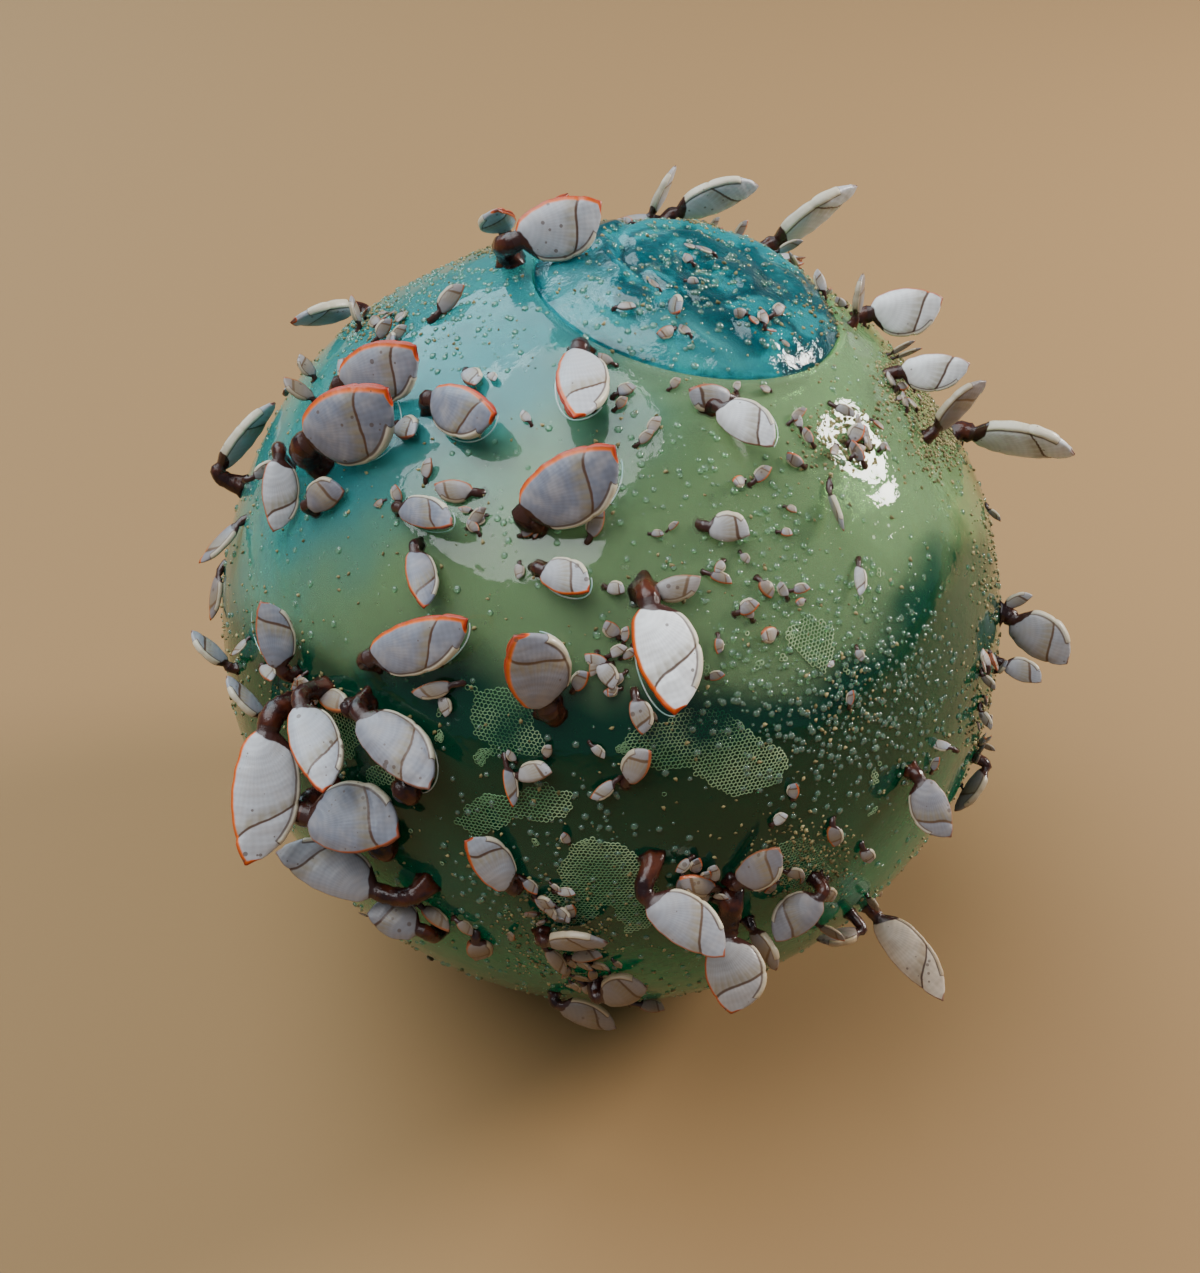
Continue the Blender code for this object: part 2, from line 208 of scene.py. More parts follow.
# Colours of what else has grown or dried on the glass, dark and pale
BUBBLE_COLOURS = ((0.42, 0.78, 0.55, 1), (0.80, 0.94, 0.80, 1))
CRUMB_COLOURS = ((0.10, 0.08, 0.02, 1), (0.40, 0.32, 0.14, 1))
LACE_COLOURS = ((0.13, 0.27, 0.12, 1), (0.40, 0.52, 0.28, 1))
# The rims' pale colours are a painted highlight on a real bead of water or salt
RIM_HIGHLIGHT_COLOURS = ((0.55, 0.88, 0.84, 1), (0.92, 0.98, 0.95, 1))

BALL_CENTRE = Vector((0, 0, math.sqrt(BALL_RADIUS ** 2 - FLAT_SPOT_RADIUS ** 2)))
SEAL_ANGLE = math.asin(SEAL_RADIUS / BALL_RADIUS)
SEAL_AXIS = Vector((math.sin(SEAL_TILT), 0, math.cos(SEAL_TILT)))


class Seen(NamedTuple):
    """A barnacle in the photograph. Pixels give its place and direction, and the rest are real sizes."""
    base: tuple             # pixel of the end of the shell that the stalk carries
    tip: tuple              # pixel of the shell's tip, which sets its direction only
    length: float           # of the shell, in millimetres
    width: float            # of the shell, in millimetres
    lift: Optional[float]   # degrees between the shell and the glass, or SQUARE
    turn: float             # degrees about its length; 0 lies flat with the opening edge on its right
    orange: float           # how strong the orange of its lips is, from 0 to 1
    bleach: float           # how far its grey-lilac plates have bleached white, from 0 to 1
    standoff: float = 0             # extra height of the base above the glass, in millimetres
    foot: Optional[tuple] = None    # pixel where the stalk stands, where it isn't under the base
    brown: float = 0                # how brown and stained the whole shell is, from 0 to 1


class Unseen(NamedTuple):
    """A barnacle on the far side, placed by angles in degrees. Bearing 0 faces the viewer."""
    bearing: float
    height: float
    heading: float
    length: float
    width: float
    lift: float
    turn: float


SEEN = {
    "crown": [
        Seen((519, 240), (603, 201), 12.5, 8, SQUARE, 180, 0.9, 0.5, standoff=1, foot=(512, 262)),
        Seen((652, 212), (676, 164), 8, 4, SQUARE, 80, 0.1, 0.5, brown=0.2),
        Seen((679, 209), (759, 182), 13, 6.5, SQUARE, 50, 0.2, 0.7),
        Seen((778, 240), (858, 184), 14.5, 7.5, SQUARE, 70, 0.1, 0.6),
    ],
    "right_shoulder": [
        Seen((856, 315), (863, 275), 6, 3.5, SQUARE, 80, 0.1, 0.3, brown=0.5),
        Seen((872, 313), (942, 298), 10.5, 6.8, SQUARE, 180, 0.4, 0.9),
        Seen((903, 371), (970, 363), 9.5, 5.2, SQUARE, 180, 0.3, 0.9),
        Seen((941, 426), (990, 379), 9.5, 5, SQUARE, 60, 0.1, 0.2, brown=0.4),
        Seen((985, 428), (1087, 449), 15.5, 8, SQUARE, 60, 0.2, 0.8),
    ],
    "left_shoulder": [
        Seen((342, 381), (413, 343), 13.3, 8, 4, 180, 1.0, 0.3),
        Seen((311, 440), (384, 390), 14.5, 10.3, 2, 180, 1.0, 0.1, foot=(322, 462)),
        Seen((430, 396), (491, 409), 13, 6.5, 12, 180, 0.9, 0.1),
        Seen((579, 352), (574, 419), 14, 6.5, 14, 0, 0.9, 0.6),
        Seen((279, 459), (273, 532), 10, 5, SQUARE, 0, 0.4, 0.6, foot=(291, 468)),
        Seen((308, 504), (346, 490), 6, 4.2, -12, 0, 0.3, 0.0, brown=0.2),
        Seen((221, 466), (276, 401), 13, 6.5, SQUARE, 70, 0.3, 0.5),
    ],
    "face": [
        Seen((400, 508), (450, 524), 10, 4.1, 12, 0, 0.4, 0.1),
        Seen((525, 510), (615, 443), 14.5, 8.6, 20, 180, 1.0, 0.1, foot=(534, 520)),
        Seen((414, 551), (423, 607), 8.5, 3.9, 14, 0, 0.5, 0.1),
        Seen((542, 570), (588, 591), 7, 4.5, 14, 0, 0.6, 0.5),
        Seen((720, 408), (774, 446), 9, 5, 14, 0, 0.3, 0.8),
        Seen((374, 657), (468, 619), 16, 6.7, 3, 180, 1.0, 0.2),
        Seen((545, 703), (514, 635), 11.5, 8, 30, 180, 0.9, 0.2, brown=0.15),
        Seen((509, 886), (465, 841), 10, 5, 8, 180, 0.5, 0.4),
        Seen((650, 606), (675, 714), 14, 7.8, 14, 0, 0.9, 1.0),
    ],
    "left_rim": [
        Seen((281, 667), (260, 601), 9.5, 5, 14, 180, 0.4, 0.2),
        Seen((226, 664), (191, 630), 7, 4, SQUARE, 60, 0.2, 0.3),
        Seen((262, 716), (226, 675), 7.5, 4, SQUARE, 60, 0.2, 0.3),
    ],
    "left_cluster": [
        Seen((268, 731), (246, 864), 18, 8.8, SQUARE, 0, 0.6, 0.6, standoff=4),
        Seen((301, 707), (324, 797), 13.5, 6.3, 22, 0, 0.5, 0.5, standoff=3),
        Seen((311, 816), (397, 836), 13, 9.5, -18, 0, 0.4, 0.2),
        Seen((363, 717), (430, 790), 13.7, 6.8, 6, 0, 0.3, 0.25, brown=0.08),
        Seen((374, 890), (275, 852), 14.5, 7, SQUARE, 180, 0.2, 0.4, standoff=1, foot=(426, 884)),
        Seen((418, 929), (369, 914), 7.5, 5.5, SQUARE, 180, 0.2, 0.3, foot=(440, 928)),
    ],
    "foot_cluster": [
        Seen((650, 900), (725, 957), 12, 6.5, SQUARE, 0, 0.4, 0.4, brown=0.12, standoff=2, foot=(652, 860)),
        Seen((727, 937), (731, 1013), 10.2, 8, SQUARE, 0, 0.5, 0.55, brown=0.08, standoff=1, foot=(729, 897)),
        Seen((740, 883), (779, 848), 8, 4.6, 8, 180, 0.4, 0.1, brown=0.4),
        Seen((819, 898), (777, 940), 8.5, 5.3, SQUARE, 180, 0.3, 0.2, brown=0.2),
        Seen((753, 930), (776, 970), 6.3, 4.2, SQUARE, 60, 0.3, 0.2, brown=0.3),
        Seen((878, 918), (943, 1001), 15.5, 5.8, SQUARE, 0, 0.3, 1.0),
        Seen((858, 932), (815, 940), 6.5, 4, -22, 60, 0.2, 0.4),
        Seen((549, 942), (608, 943), 8.8, 5, 6, 70, 0.2, 0.3, brown=0.2),
        Seen((602, 997), (647, 988), 7, 5.5, -5, 40, 0.2, 0.3, brown=0.2),
        Seen((561, 1006), (617, 1029), 9, 4.5, SQUARE, 40, 0.2, 0.3, brown=0.1),
    ],
    "right_rim": [
        Seen((1014, 620), (1068, 664), 10.5, 7, SQUARE, 20, 0.2, 0.4, brown=0.2),
        Seen((1005, 664), (1041, 682), 6, 3.5, SQUARE, 0, 0.2, 0.4, brown=0.2),
        Seen((920, 781), (951, 837), 8.7, 5.2, SQUARE, 180, 0.3, 0.2, brown=0.25),
        Seen((985, 770), (955, 811), 8, 4.2, SQUARE, 60, 0.2, 0.2, brown=0.2),
    ],
}

UNSEEN = {
    "back": [
        Unseen(150, 42, 200, 14, 8, 30, 0),
        Unseen(176, 24, 120, 12, 7, 25, 180),
        Unseen(201, 40, -60, 15, 8.5, 25, 0),
        Unseen(226, 14, 160, 13, 7.5, 35, 180),
        Unseen(186, -6, 20, 10, 6, 30, 0),
        Unseen(128, 10, -150, 16, 9, 35, 0),
        Unseen(146, -14, 90, 9, 5.5, 30, 180),
        Unseen(240, 42, 100, 11, 6.5, 20, 0),
        Unseen(216, 64, 30, 9, 5.5, 20, 180),
        Unseen(252, -8, -30, 12, 7, 35, 0),
    ],
}


class Stance(NamedTuple):
    """How a shell stands: the way out from the ball's centre to its base, along it, and off its flat side."""
    out: Vector
    along: Vector
    flat: Vector


class Look(NamedTuple):
    """What differs from one shell to the next."""
    orange: float
    bleach: float
    brown: float


def ball_radius_at(angle):
    """The ball's radius at an angle from the seal's axis, with the soft dip of its shoulder."""
    dip = math.exp(-((angle - SHOULDER_ANGLE) / SHOULDER_SPREAD) ** 2)
    return BALL_RADIUS - SHOULDER_DIP * dip


def seal_radius_at(angle):
    """The seal's top: proud in the middle, dimpled at its centre and rounded down at its edge."""
    share = min(angle / SEAL_ANGLE, 1)
    edge = ball_radius_at(SEAL_ANGLE) - GAP
    dimple = SEAL_DIMPLE * math.exp(-(share / SEAL_DIMPLE_SHARE) ** 2)
    return edge + (SEAL_PROUD + GAP) * (1 - share ** 5) - dimple


def glass_radius(out):
    """How far the glass reaches in a direction from the ball's centre."""
    angle = SEAL_AXIS.angle(out)
    if angle < SEAL_ANGLE:
        return seal_radius_at(angle)
    return ball_radius_at(angle)


def view_axes():
    """The photograph's right, its up, and the way from the ball to the viewer."""
    right = Vector((1, 0, 0))
    up = Vector((0, math.sin(VIEW_ELEVATION), math.cos(VIEW_ELEVATION)))
    back = Vector((0, -math.cos(VIEW_ELEVATION), math.sin(VIEW_ELEVATION)))
    return right, up, back


def viewpoint():
    """Where the photograph was taken from, as seen from the ball's centre."""
    right, up, back = view_axes()
    distance = VIEW_DISTANCE_IN_RADII * BALL_RADIUS
    aside = (BALL_CENTRE_PX[0] - PHOTO_CENTRE_PX[0]) / FOCAL_LENGTH_PX * distance
    below = (PHOTO_CENTRE_PX[1] - BALL_CENTRE_PX[1]) / FOCAL_LENGTH_PX * distance
    return back * distance - right * aside - up * below


def sight(pixel):
    """The direction in which the camera sees a pixel of the photograph."""
    right, up, back = view_axes()
    across = (pixel[0] - PHOTO_CENTRE_PX[0]) / FOCAL_LENGTH_PX
    rise = (PHOTO_CENTRE_PX[1] - pixel[1]) / FOCAL_LENGTH_PX
    return (right * across + up * rise - back).normalized()


def pixel_of(place):
    """The pixel of the photograph that shows a place, given from the ball's centre."""
    right, up, back = view_axes()
    offset = place - viewpoint()
    depth = -offset.dot(back)
    across = PHOTO_CENTRE_PX[0] + FOCAL_LENGTH_PX * offset.dot(right) / depth
    down = PHOTO_CENTRE_PX[1] - FOCAL_LENGTH_PX * offset.dot(up) / depth
    return across, down


def outward(pixel, radius):
    """The way out from the ball's centre to what a pixel shows on a ball of this radius."""
    eye = viewpoint()
    ray = sight(pixel)
    nearest = eye.dot(ray)
    inside = nearest ** 2 - eye.length_squared + radius ** 2
    return (eye + ray * (-nearest - math.sqrt(max(inside, 0)))).normalized()


def swell(share, early, fullness):
    """A rounded bulge along the shell, nothing at both ends: early moves its peak towards the base."""
    return math.sin(math.pi * share ** early) ** fullness


def shell_section(share, width):
    """Half sizes of the plain solid at a share of its length: to the opening, the keel, and the flat side."""
    neck = STALK_SHARE * width * (1 - share) ** 2
    opening = max(OPENING_SHARE * width * swell(share, 0.62, 0.8), neck, TIP_RADIUS)
    keel = max((1 - OPENING_SHARE) * width * swell(share, 0.95, 0.58), neck, TIP_RADIUS)
    half_thickness = max(THICKNESS_SHARE / 2 * width * swell(share, 0.7, 0.8), neck, TIP_RADIUS)
    return opening, keel, half_thickness


def base_height(stance, length, width):
    """How high the shell's base has to stand for the whole shell to clear the glass."""
    across = stance.along.cross(stance.flat)
    slope = stance.along.dot(stance.out)
    needed = [RISE_SHARE * length]
    for share in (*SHELL_STATIONS, 1):
        opening, keel, half_thickness = shell_section(share, width)
        lower_side = keel if across.dot(stance.out) > 0 else opening
        flat_part = half_thickness * stance.flat.dot(stance.out)
        extent = math.hypot(flat_part, lower_side * across.dot(stance.out))
        run = share * length
        falling_away = run ** 2 * (1 - slope ** 2) / (2 * BALL_RADIUS)
        needed.append(extent - run * slope - falling_away)
    return max(needed) + CLEARANCE


def compass(out):
    """North and east on the ball, at the way out."""
    east = Vector((0, 0, 1)).cross(out).normalized()
    return out.cross(east), east


def way_at(bearing, height):
    """The way out from the ball's centre at a bearing and a height, where bearing 0 faces the viewer."""
    level = Vector((math.sin(bearing), -math.cos(bearing), 0))
    return level * math.cos(height) + Vector((0, 0, math.sin(height)))


def raised(out, heading, lift):
    """A way that runs over the glass at a heading and is lifted off it."""
    north, east = compass(out)
    level = north * math.cos(heading) + east * math.sin(heading)
    return level * math.cos(lift) + out * math.sin(lift)


def along_seen(shown, out):
    """The way along a shell that makes it point from its base pixel to its tip pixel."""
    ray = sight(shown.base)
    sheet = ray.cross(sight(shown.tip)).normalized()
    square = sheet.cross(ray).normalized()
    if shown.lift is SQUARE:
        return square
    lift = math.radians(shown.lift)
    north, east = compass(out)
    sideways = Vector((north.dot(sheet), east.dot(sheet)))
    middle = math.atan2(sideways.y, sideways.x)
    cosine = -math.tan(lift) * out.dot(sheet) / sideways.length
    spread = math.acos(max(-1, min(1, cosine)))
    choices = [raised(out, heading, lift) for heading in (middle + spread, middle - spread)]
    return max(choices, key=square.dot)


def stance_seen(shown):
    """A stance that shows the shell where the photograph has it. Its height and its place settle together."""
    height = RISE_SHARE * shown.length * MM
    ray = sight(shown.base)
    for _ in range(SETTLING_ROUNDS):
        out = outward(shown.base, BALL_RADIUS + height + shown.standoff * MM)
        along = along_seen(shown, out)
        flat = -(ray - along * ray.dot(along)).normalized()
        flat.rotate(Quaternion(along, math.radians(shown.turn)))
        stance = Stance(out, along, flat)
        height = base_height(stance, shown.length * MM, shown.width * MM)
    return stance


def loose_stance(out, heading, lift, turn=None):
    """A stance at an angle to the glass, turned about its own length where a turn is given."""
    along = raised(out, heading, lift)
    flat = (out - along * out.dot(along)).normalized()
    if turn is not None:
        flat.rotate(Quaternion(along, turn))
    return Stance(out, along, flat)


def stance_unseen(hidden):
    """A stance from the angles of a barnacle on the far side."""
    out = way_at(math.radians(hidden.bearing), math.radians(hidden.height))
    angles = (math.radians(angle) for angle in (hidden.heading, hidden.lift, hidden.turn))
    return loose_stance(out, *angles)


# Node helpers, for shader trees and geometry trees alike


def socket_of(sockets, key):
    """A node's socket by its number, or by its name among those that are in use."""
    if isinstance(key, int):
        return sockets[key]
    return next(s for s in sockets if s.name == key and s.enabled)


def node(tree, kind, inputs=None, output=0, **settings):
    """Adds a node, sets or links its inputs, and returns one of its outputs."""
    made = tree.nodes.new(kind)
    for name, value in settings.items():
        setattr(made, name, value)
    for key, value in (inputs or {}).items():
        socket = socket_of(made.inputs, key)
        if isinstance(value, bpy.types.NodeSocket):
            tree.links.new(value, socket)
        elif value is not None:
            socket.default_value = value
    return socket_of(made.outputs, output)


def calc(tree, operation, first, second=None):
    return node(tree, "ShaderNodeMath", {0: first, 1: second}, operation=operation)


def times(tree, first, second):
    return calc(tree, "MULTIPLY", first, second)


def plus(tree, first, second):
    return calc(tree, "ADD", first, second)


def minus(tree, first, second):
    return calc(tree, "SUBTRACT", first, second)


def vector_calc(tree, operation, first, second=None, output=0):
    return node(tree, "ShaderNodeVectorMath", {0: first, 1: second}, output=output, operation=operation)


def ramp(tree, value, low, high, to_low=0.0, to_high=1.0):
    """A soft step from one value to another as a number passes from low to high."""
    ends = {"Value": value, "From Min": low, "From Max": high, "To Min": to_low, "To Max": to_high}
    return node(tree, "ShaderNodeMapRange", ends, interpolation_type="SMOOTHSTEP")


def mix(tree, factor, first, second, blend_type="MIX"):
    """A mix of two colours."""
    inputs = {"Factor": factor, "A": first, "B": second}
    return node(tree, "ShaderNodeMix", inputs, output="Result", data_type="RGBA", blend_type=blend_type)


def attribute(tree, name):
    return node(tree, "ShaderNodeAttribute", output="Fac", attribute_name=name)


def grain(tree, vector, scale, detail=3.0, roughness=0.55):
    inputs = {"Vector": vector, "Scale": scale, "Detail": detail, "Roughness": roughness}
    return node(tree, "ShaderNodeTexNoise", inputs, output="Fac")


def group(name, kind, inputs, outputs):
    """An empty node group with named sockets. Returns the tree, its input sockets and its output node."""
    tree = bpy.data.node_groups.new(name, kind)
    for label, (socket_type, value) in inputs.items():
        socket = tree.interface.new_socket(label, in_out="INPUT", socket_type=socket_type)
        if value is not None:
            socket.default_value = value
    for label, socket_type in outputs.items():
        tree.interface.new_socket(label, in_out="OUTPUT", socket_type=socket_type)
    entry = tree.nodes.new("NodeGroupInput")
    leave = tree.nodes.new("NodeGroupOutput")
    return tree, {s.name: s for s in entry.outputs if s.name}, leave


def use_group(tree, inner, inputs, output):
    return node(tree, "ShaderNodeGroup", inputs, output=output, node_tree=inner)


def shader_material(name):
    """A new material. Returns it with its tree, its shader and its Object coordinates."""
    made = bpy.data.materials.new(name)
    made.use_nodes = True
    tree = made.node_tree
    shader = tree.nodes["Principled BSDF"]
    place = node(tree, "ShaderNodeTexCoord", output="Object")
    return made, tree, shader, place


def plug(tree, shader, **values):
    """Sets or links a shader's sockets, named with underscores for spaces."""
    for name, value in values.items():
        socket = shader.inputs[name.replace("_", " ")]
        if isinstance(value, bpy.types.NodeSocket):
            tree.links.new(value, socket)
        else:
            socket.default_value = value


FLOAT = "NodeSocketFloat"
VECTOR = "NodeSocketVector"


def specks_group():
    """Scattered specks, such as dark pits in a shell or salt on glass: a mask of small spots."""
    tree, given, leave = group(
        "specks", "ShaderNodeTree",
        {"Vector": (VECTOR, None), "Scale": (FLOAT, 900), "Amount": (FLOAT, 0.2)}, {"Mask": FLOAT})
    cells = {"Vector": given["Vector"], "Scale": given["Scale"]}
    spots = node(tree, "ShaderNodeTexVoronoi", cells, output="Distance")
    patchy = grain(tree, given["Vector"], 160.0, 2.0)
    size = times(tree, minus(tree, patchy, 0.42), given["Amount"])
    tree.links.new(calc(tree, "GREATER_THAN", size, spots), leave.inputs["Mask"])
    return tree


def fine_relief_group():
    """Two sizes of unevenness added up, as a height for a bump."""
    tree, given, leave = group(
        "fine relief", "ShaderNodeTree",
        {"Vector": (VECTOR, None), "Coarse scale": (FLOAT, 300), "Fine scale": (FLOAT, 1800),
         "Fine share": (FLOAT, 0.4)},
        {"Height": FLOAT})
    coarse = grain(tree, given["Vector"], given["Coarse scale"])
    fine = grain(tree, given["Vector"], given["Fine scale"])
    tree.links.new(plus(tree, coarse, times(tree, fine, given["Fine share"])), leave.inputs["Height"])
    return tree


SPECKS = specks_group()
FINE_RELIEF = fine_relief_group()


def specks(tree, place, scale, amount):
    return use_group(tree, SPECKS, {"Vector": place, "Scale": scale, "Amount": amount}, "Mask")


def fine_relief(tree, place, coarse, fine, share):
    inputs = {"Vector": place, "Coarse scale": coarse, "Fine scale": fine, "Fine share": share}
    return use_group(tree, FINE_RELIEF, inputs, "Height")


def bumped(tree, height, strength, distance):
    """A normal from a height, with the relief's depth in metres."""
    inputs = {"Strength": strength, "Distance": distance, "Height": height}
    return node(tree, "ShaderNodeBump", inputs, output="Normal")


# What each point of a shell is near, how far each shell's colour goes, and how finely its plates are lined
SHELL_FIELDS = (
    "past_suture", "from_lip", "from_keel", "from_sleeve", "fan", "growth", "orange", "bleach", "brown",
)
FINE_RAYS = 95.0
COARSE_RAYS = 46.0
GROWTH_LINES = 7.5
BLEACH_CURVE = 1.6


def shell_material():
    """Plates of grey-lilac to white shell, with brown sutures, olive ribs, a cream keel and orange lips."""
    made, tree, shader, place = shader_material("barnacle_shell")
    fields = [attribute(tree, name) for name in SHELL_FIELDS]
    past_suture, from_lip, from_keel, from_sleeve, fan, growth, orange, bleach, brown = fields

    wander = grain(tree, place, 420.0, 2.0)
    plate = mix(tree, calc(tree, "POWER", bleach, BLEACH_CURVE), PLATE_GREY, PLATE_BLEACHED)
    plate = mix(tree, ramp(tree, wander, 0.40, 0.75, 0.0, 0.35), plate, PLATE_CLOUD)

    # Fine rays fan out from the plate's corner, and growth lines cross them
    rays = calc(tree, "SINE", times(tree, fan, FINE_RAYS))
    ray_tone = ramp(tree, rays, -1.0, 1.0, 0.955, 1.02)
    uneven = times(tree, wander, 5.0)
    lines = calc(tree, "SINE", plus(tree, times(tree, growth, GROWTH_LINES), uneven))
    line_tone = ramp(tree, lines, -1.0, 1.0, 0.955, 1.015)
    tone = times(tree, ray_tone, line_tone)
    shade = node(tree, "ShaderNodeCombineColor", {0: tone, 1: tone, 2: tone})
    plate = mix(tree, 1.0, plate, shade, "MULTIPLY")

    # Olive ribs on the near side of the suture, then its dark line
    coarse_rays = calc(tree, "SINE", times(tree, fan, COARSE_RAYS))
    rib_band = times(tree, ramp(tree, past_suture, -2.3, -0.5), ramp(tree, past_suture, 0.25, -0.05))
    ribs = times(tree, rib_band, ramp(tree, coarse_rays, -1.0, 1.0, 0.55, 0.9))
    plate = mix(tree, times(tree, ribs, 0.6), plate, RIB_OLIVE)
    wobble = times(tree, minus(tree, wander, 0.5), 0.35)
    suture = ramp(tree, calc(tree, "ABSOLUTE", plus(tree, past_suture, wobble)), 0.26, 0.08)
    plate = mix(tree, times(tree, suture, 0.92), plate, SUTURE_BROWN)

    # The cream keel strip, with a dark line of painted shade in the groove beside it
    keel = ramp(tree, from_keel, 0.75, 0.6)
    plate = mix(tree, times(tree, keel, 0.85), plate, KEEL_CREAM)
    keel_shadow_line = ramp(tree, calc(tree, "ABSOLUTE", minus(tree, from_keel, 0.78)), 0.17, 0.05)
    plate = mix(tree, times(tree, keel_shadow_line, 0.8), plate, KEEL_SHADOW)

    # The lips: red-orange at the very edge, paling inwards, with a maroon cleft between the valves
    inward = calc(tree, "DIVIDE", from_lip, plus(tree, 0.28, times(tree, orange, 0.85)))
    lip = times(tree, ramp(tree, inward, 1.15, 0.75), ramp(tree, orange, 0.0, 0.5, 0.35, 1.0))
    lip_color = mix(tree, ramp(tree, inward, 0.25, 1.0), LIP_RED, LIP_ORANGE)
    lip_color = mix(tree, ramp(tree, orange, 0.15, 0.7), LIP_FADED, lip_color)
    plate = mix(tree, lip, plate, lip_color)
    plate = mix(tree, ramp(tree, from_lip, 0.17, 0.07), plate, CLEFT_MAROON)

    # Shells low on the ball are warmer in tone than those above, as painted warm light
    height_above = node(tree, "ShaderNodeSeparateXYZ", {0: place}, output="Z")
    warm_light = ramp(tree, height_above, WARM_LIGHT_BELOW[1], WARM_LIGHT_BELOW[0])
    plate = mix(tree, warm_light, plate, LOW_WARM_LIGHT, "MULTIPLY")

    # Stains, specks and the dark sleeve of the stalk round the base
    stain = times(tree, brown, ramp(tree, wander, 0.1, 0.6, 0.7, 1.15))
    plate = mix(tree, stain, plate, STAIN_BROWN)
    plate = mix(tree, times(tree, specks(tree, place, 700.0, 0.9), 0.7), plate, SPECK_BROWN)
    ragged = plus(tree, from_sleeve, times(tree, minus(tree, wander, 0.5), 1.2))
    sleeve = ramp(tree, ragged, 0.16, -0.10)
    plate = mix(tree, sleeve, plate, SLEEVE_BROWN)

    roughness = ramp(tree, wander, 0.2, 0.8, 0.30, 0.46)
    roughness = node(tree, "ShaderNodeMix", {"Factor": sleeve, "A": roughness, "B": 0.2}, output="Result")
    height = plus(tree, times(tree, rays, 0.08), times(tree, lines, 0.14))
    height = plus(tree, height, times(tree, fine_relief(tree, place, 900.0, 3000.0, 0.5), 0.8))
    normal = bumped(tree, height, 0.35, 0.1 * MM)
    plug(tree, shader, Base_Color=plate, Roughness=roughness, Normal=normal, IOR=1.5)
    return made


def stalk_material():
    """Wet, wrinkled, dark maroon-brown skin, mottled paler and more orange in places."""
    made, tree, shader, place = shader_material("barnacle_stalk")
    mottle = grain(tree, place, 380.0, 3.0)
    skin = mix(tree, ramp(tree, mottle, 0.35, 0.72), *STALK_COLOURS)
    normal = bumped(tree, fine_relief(tree, place, 700.0, 2400.0, 0.4), 0.6, 0.2 * MM)
    plug(tree, shader, Base_Color=skin, Roughness=0.22, Normal=normal, IOR=1.45)
    return made


def absorb(tree):
    """Lets a body of glass take up light as it passes through."""
    depth = tree.nodes.new("ShaderNodeVolumeAbsorption")
    depth.inputs["Color"].default_value = GLASS_TAKES_UP
    depth.inputs["Density"].default_value = GLASS_DENSITY
    tree.links.new(depth.outputs["Volume"], tree.nodes["Material Output"].inputs["Volume"])


# How far the borders between the glass's tints wander, in metres, and how coarsely
TINT_DRIFT = 0.040
TINT_GRAIN = 30.0


def glass_tint(tree, place, teal, olive, deep):
    """The glass's colour by place: teal about the seal and to its left, a painted reflection of the sky, then
    olive, and deep green below, painted shade.
    """
    parts = tree.nodes.new("ShaderNodeSeparateXYZ")
    tree.links.new(place, parts.inputs[0])
    drift = times(tree, minus(tree, grain(tree, place, TINT_GRAIN), 0.5), TINT_DRIFT)
    level = plus(tree, parts.outputs["Z"], drift)
    # Deep green low on the ball is painted shade: the shadowed floor seen through the glass
    low = mix(tree, ramp(tree, level, *LOW_GLASS), LOW_TINT, deep)
    tint = mix(tree, ramp(tree, level, *DEEP_SHADE_GLASS), low, olive)
    # Teal about the seal and leftwards is a painted reflection of the sky
    leftward = minus(tree, level, times(tree, parts.outputs["X"], TEAL_SKY_LEAN))
    return mix(tree, ramp(tree, leftward, *TEAL_SKY_GLASS), tint, teal)


def ball_glass_material():
    """Clear bottle-green glass with a wavy, pitted and lightly salt-flecked skin."""
    made, tree, shader, place = shader_material("ball_glass")
    # The tint holds painted shade low on the ball and a painted sky reflection about the seal
    tint = glass_tint(tree, place, *OUTER_TINTS)
    relief = fine_relief(tree, place, 150.0, 900.0, 0.12)
    height = minus(tree, relief, times(tree, specks(tree, place, 520.0, 1.1), 0.4))
    normal = bumped(tree, height, 0.40, 0.5 * MM)
    salt = specks(tree, place, 800.0, 0.8)
    roughness = ramp(tree, salt, 0.0, 1.0, 0.045, 0.35)
    plug(tree, shader, Base_Color=tint, Roughness=roughness, Normal=normal, IOR=GLASS_IOR,
         Transmission_Weight=0.85, Specular_IOR_Level=0.22)
    absorb(tree)
    return made


def inner_glass_material():
    """The inner skin of the ball, dulled and uneven, so that what lies behind it blurs."""
    made, tree, shader, place = shader_material("inner_glass")
    # The tint holds painted shade low on the ball and a painted sky reflection about the seal
    tint = glass_tint(tree, place, *INNER_TINTS)
    normal = bumped(tree, fine_relief(tree, place, 120.0, 500.0, 0.3), 0.5, 0.6 * MM)
    plug(tree, shader, Base_Color=tint, Roughness=0.22, Normal=normal, IOR=GLASS_IOR,
         Transmission_Weight=0.88, Specular_IOR_Level=0.25)
    absorb(tree)
    return made


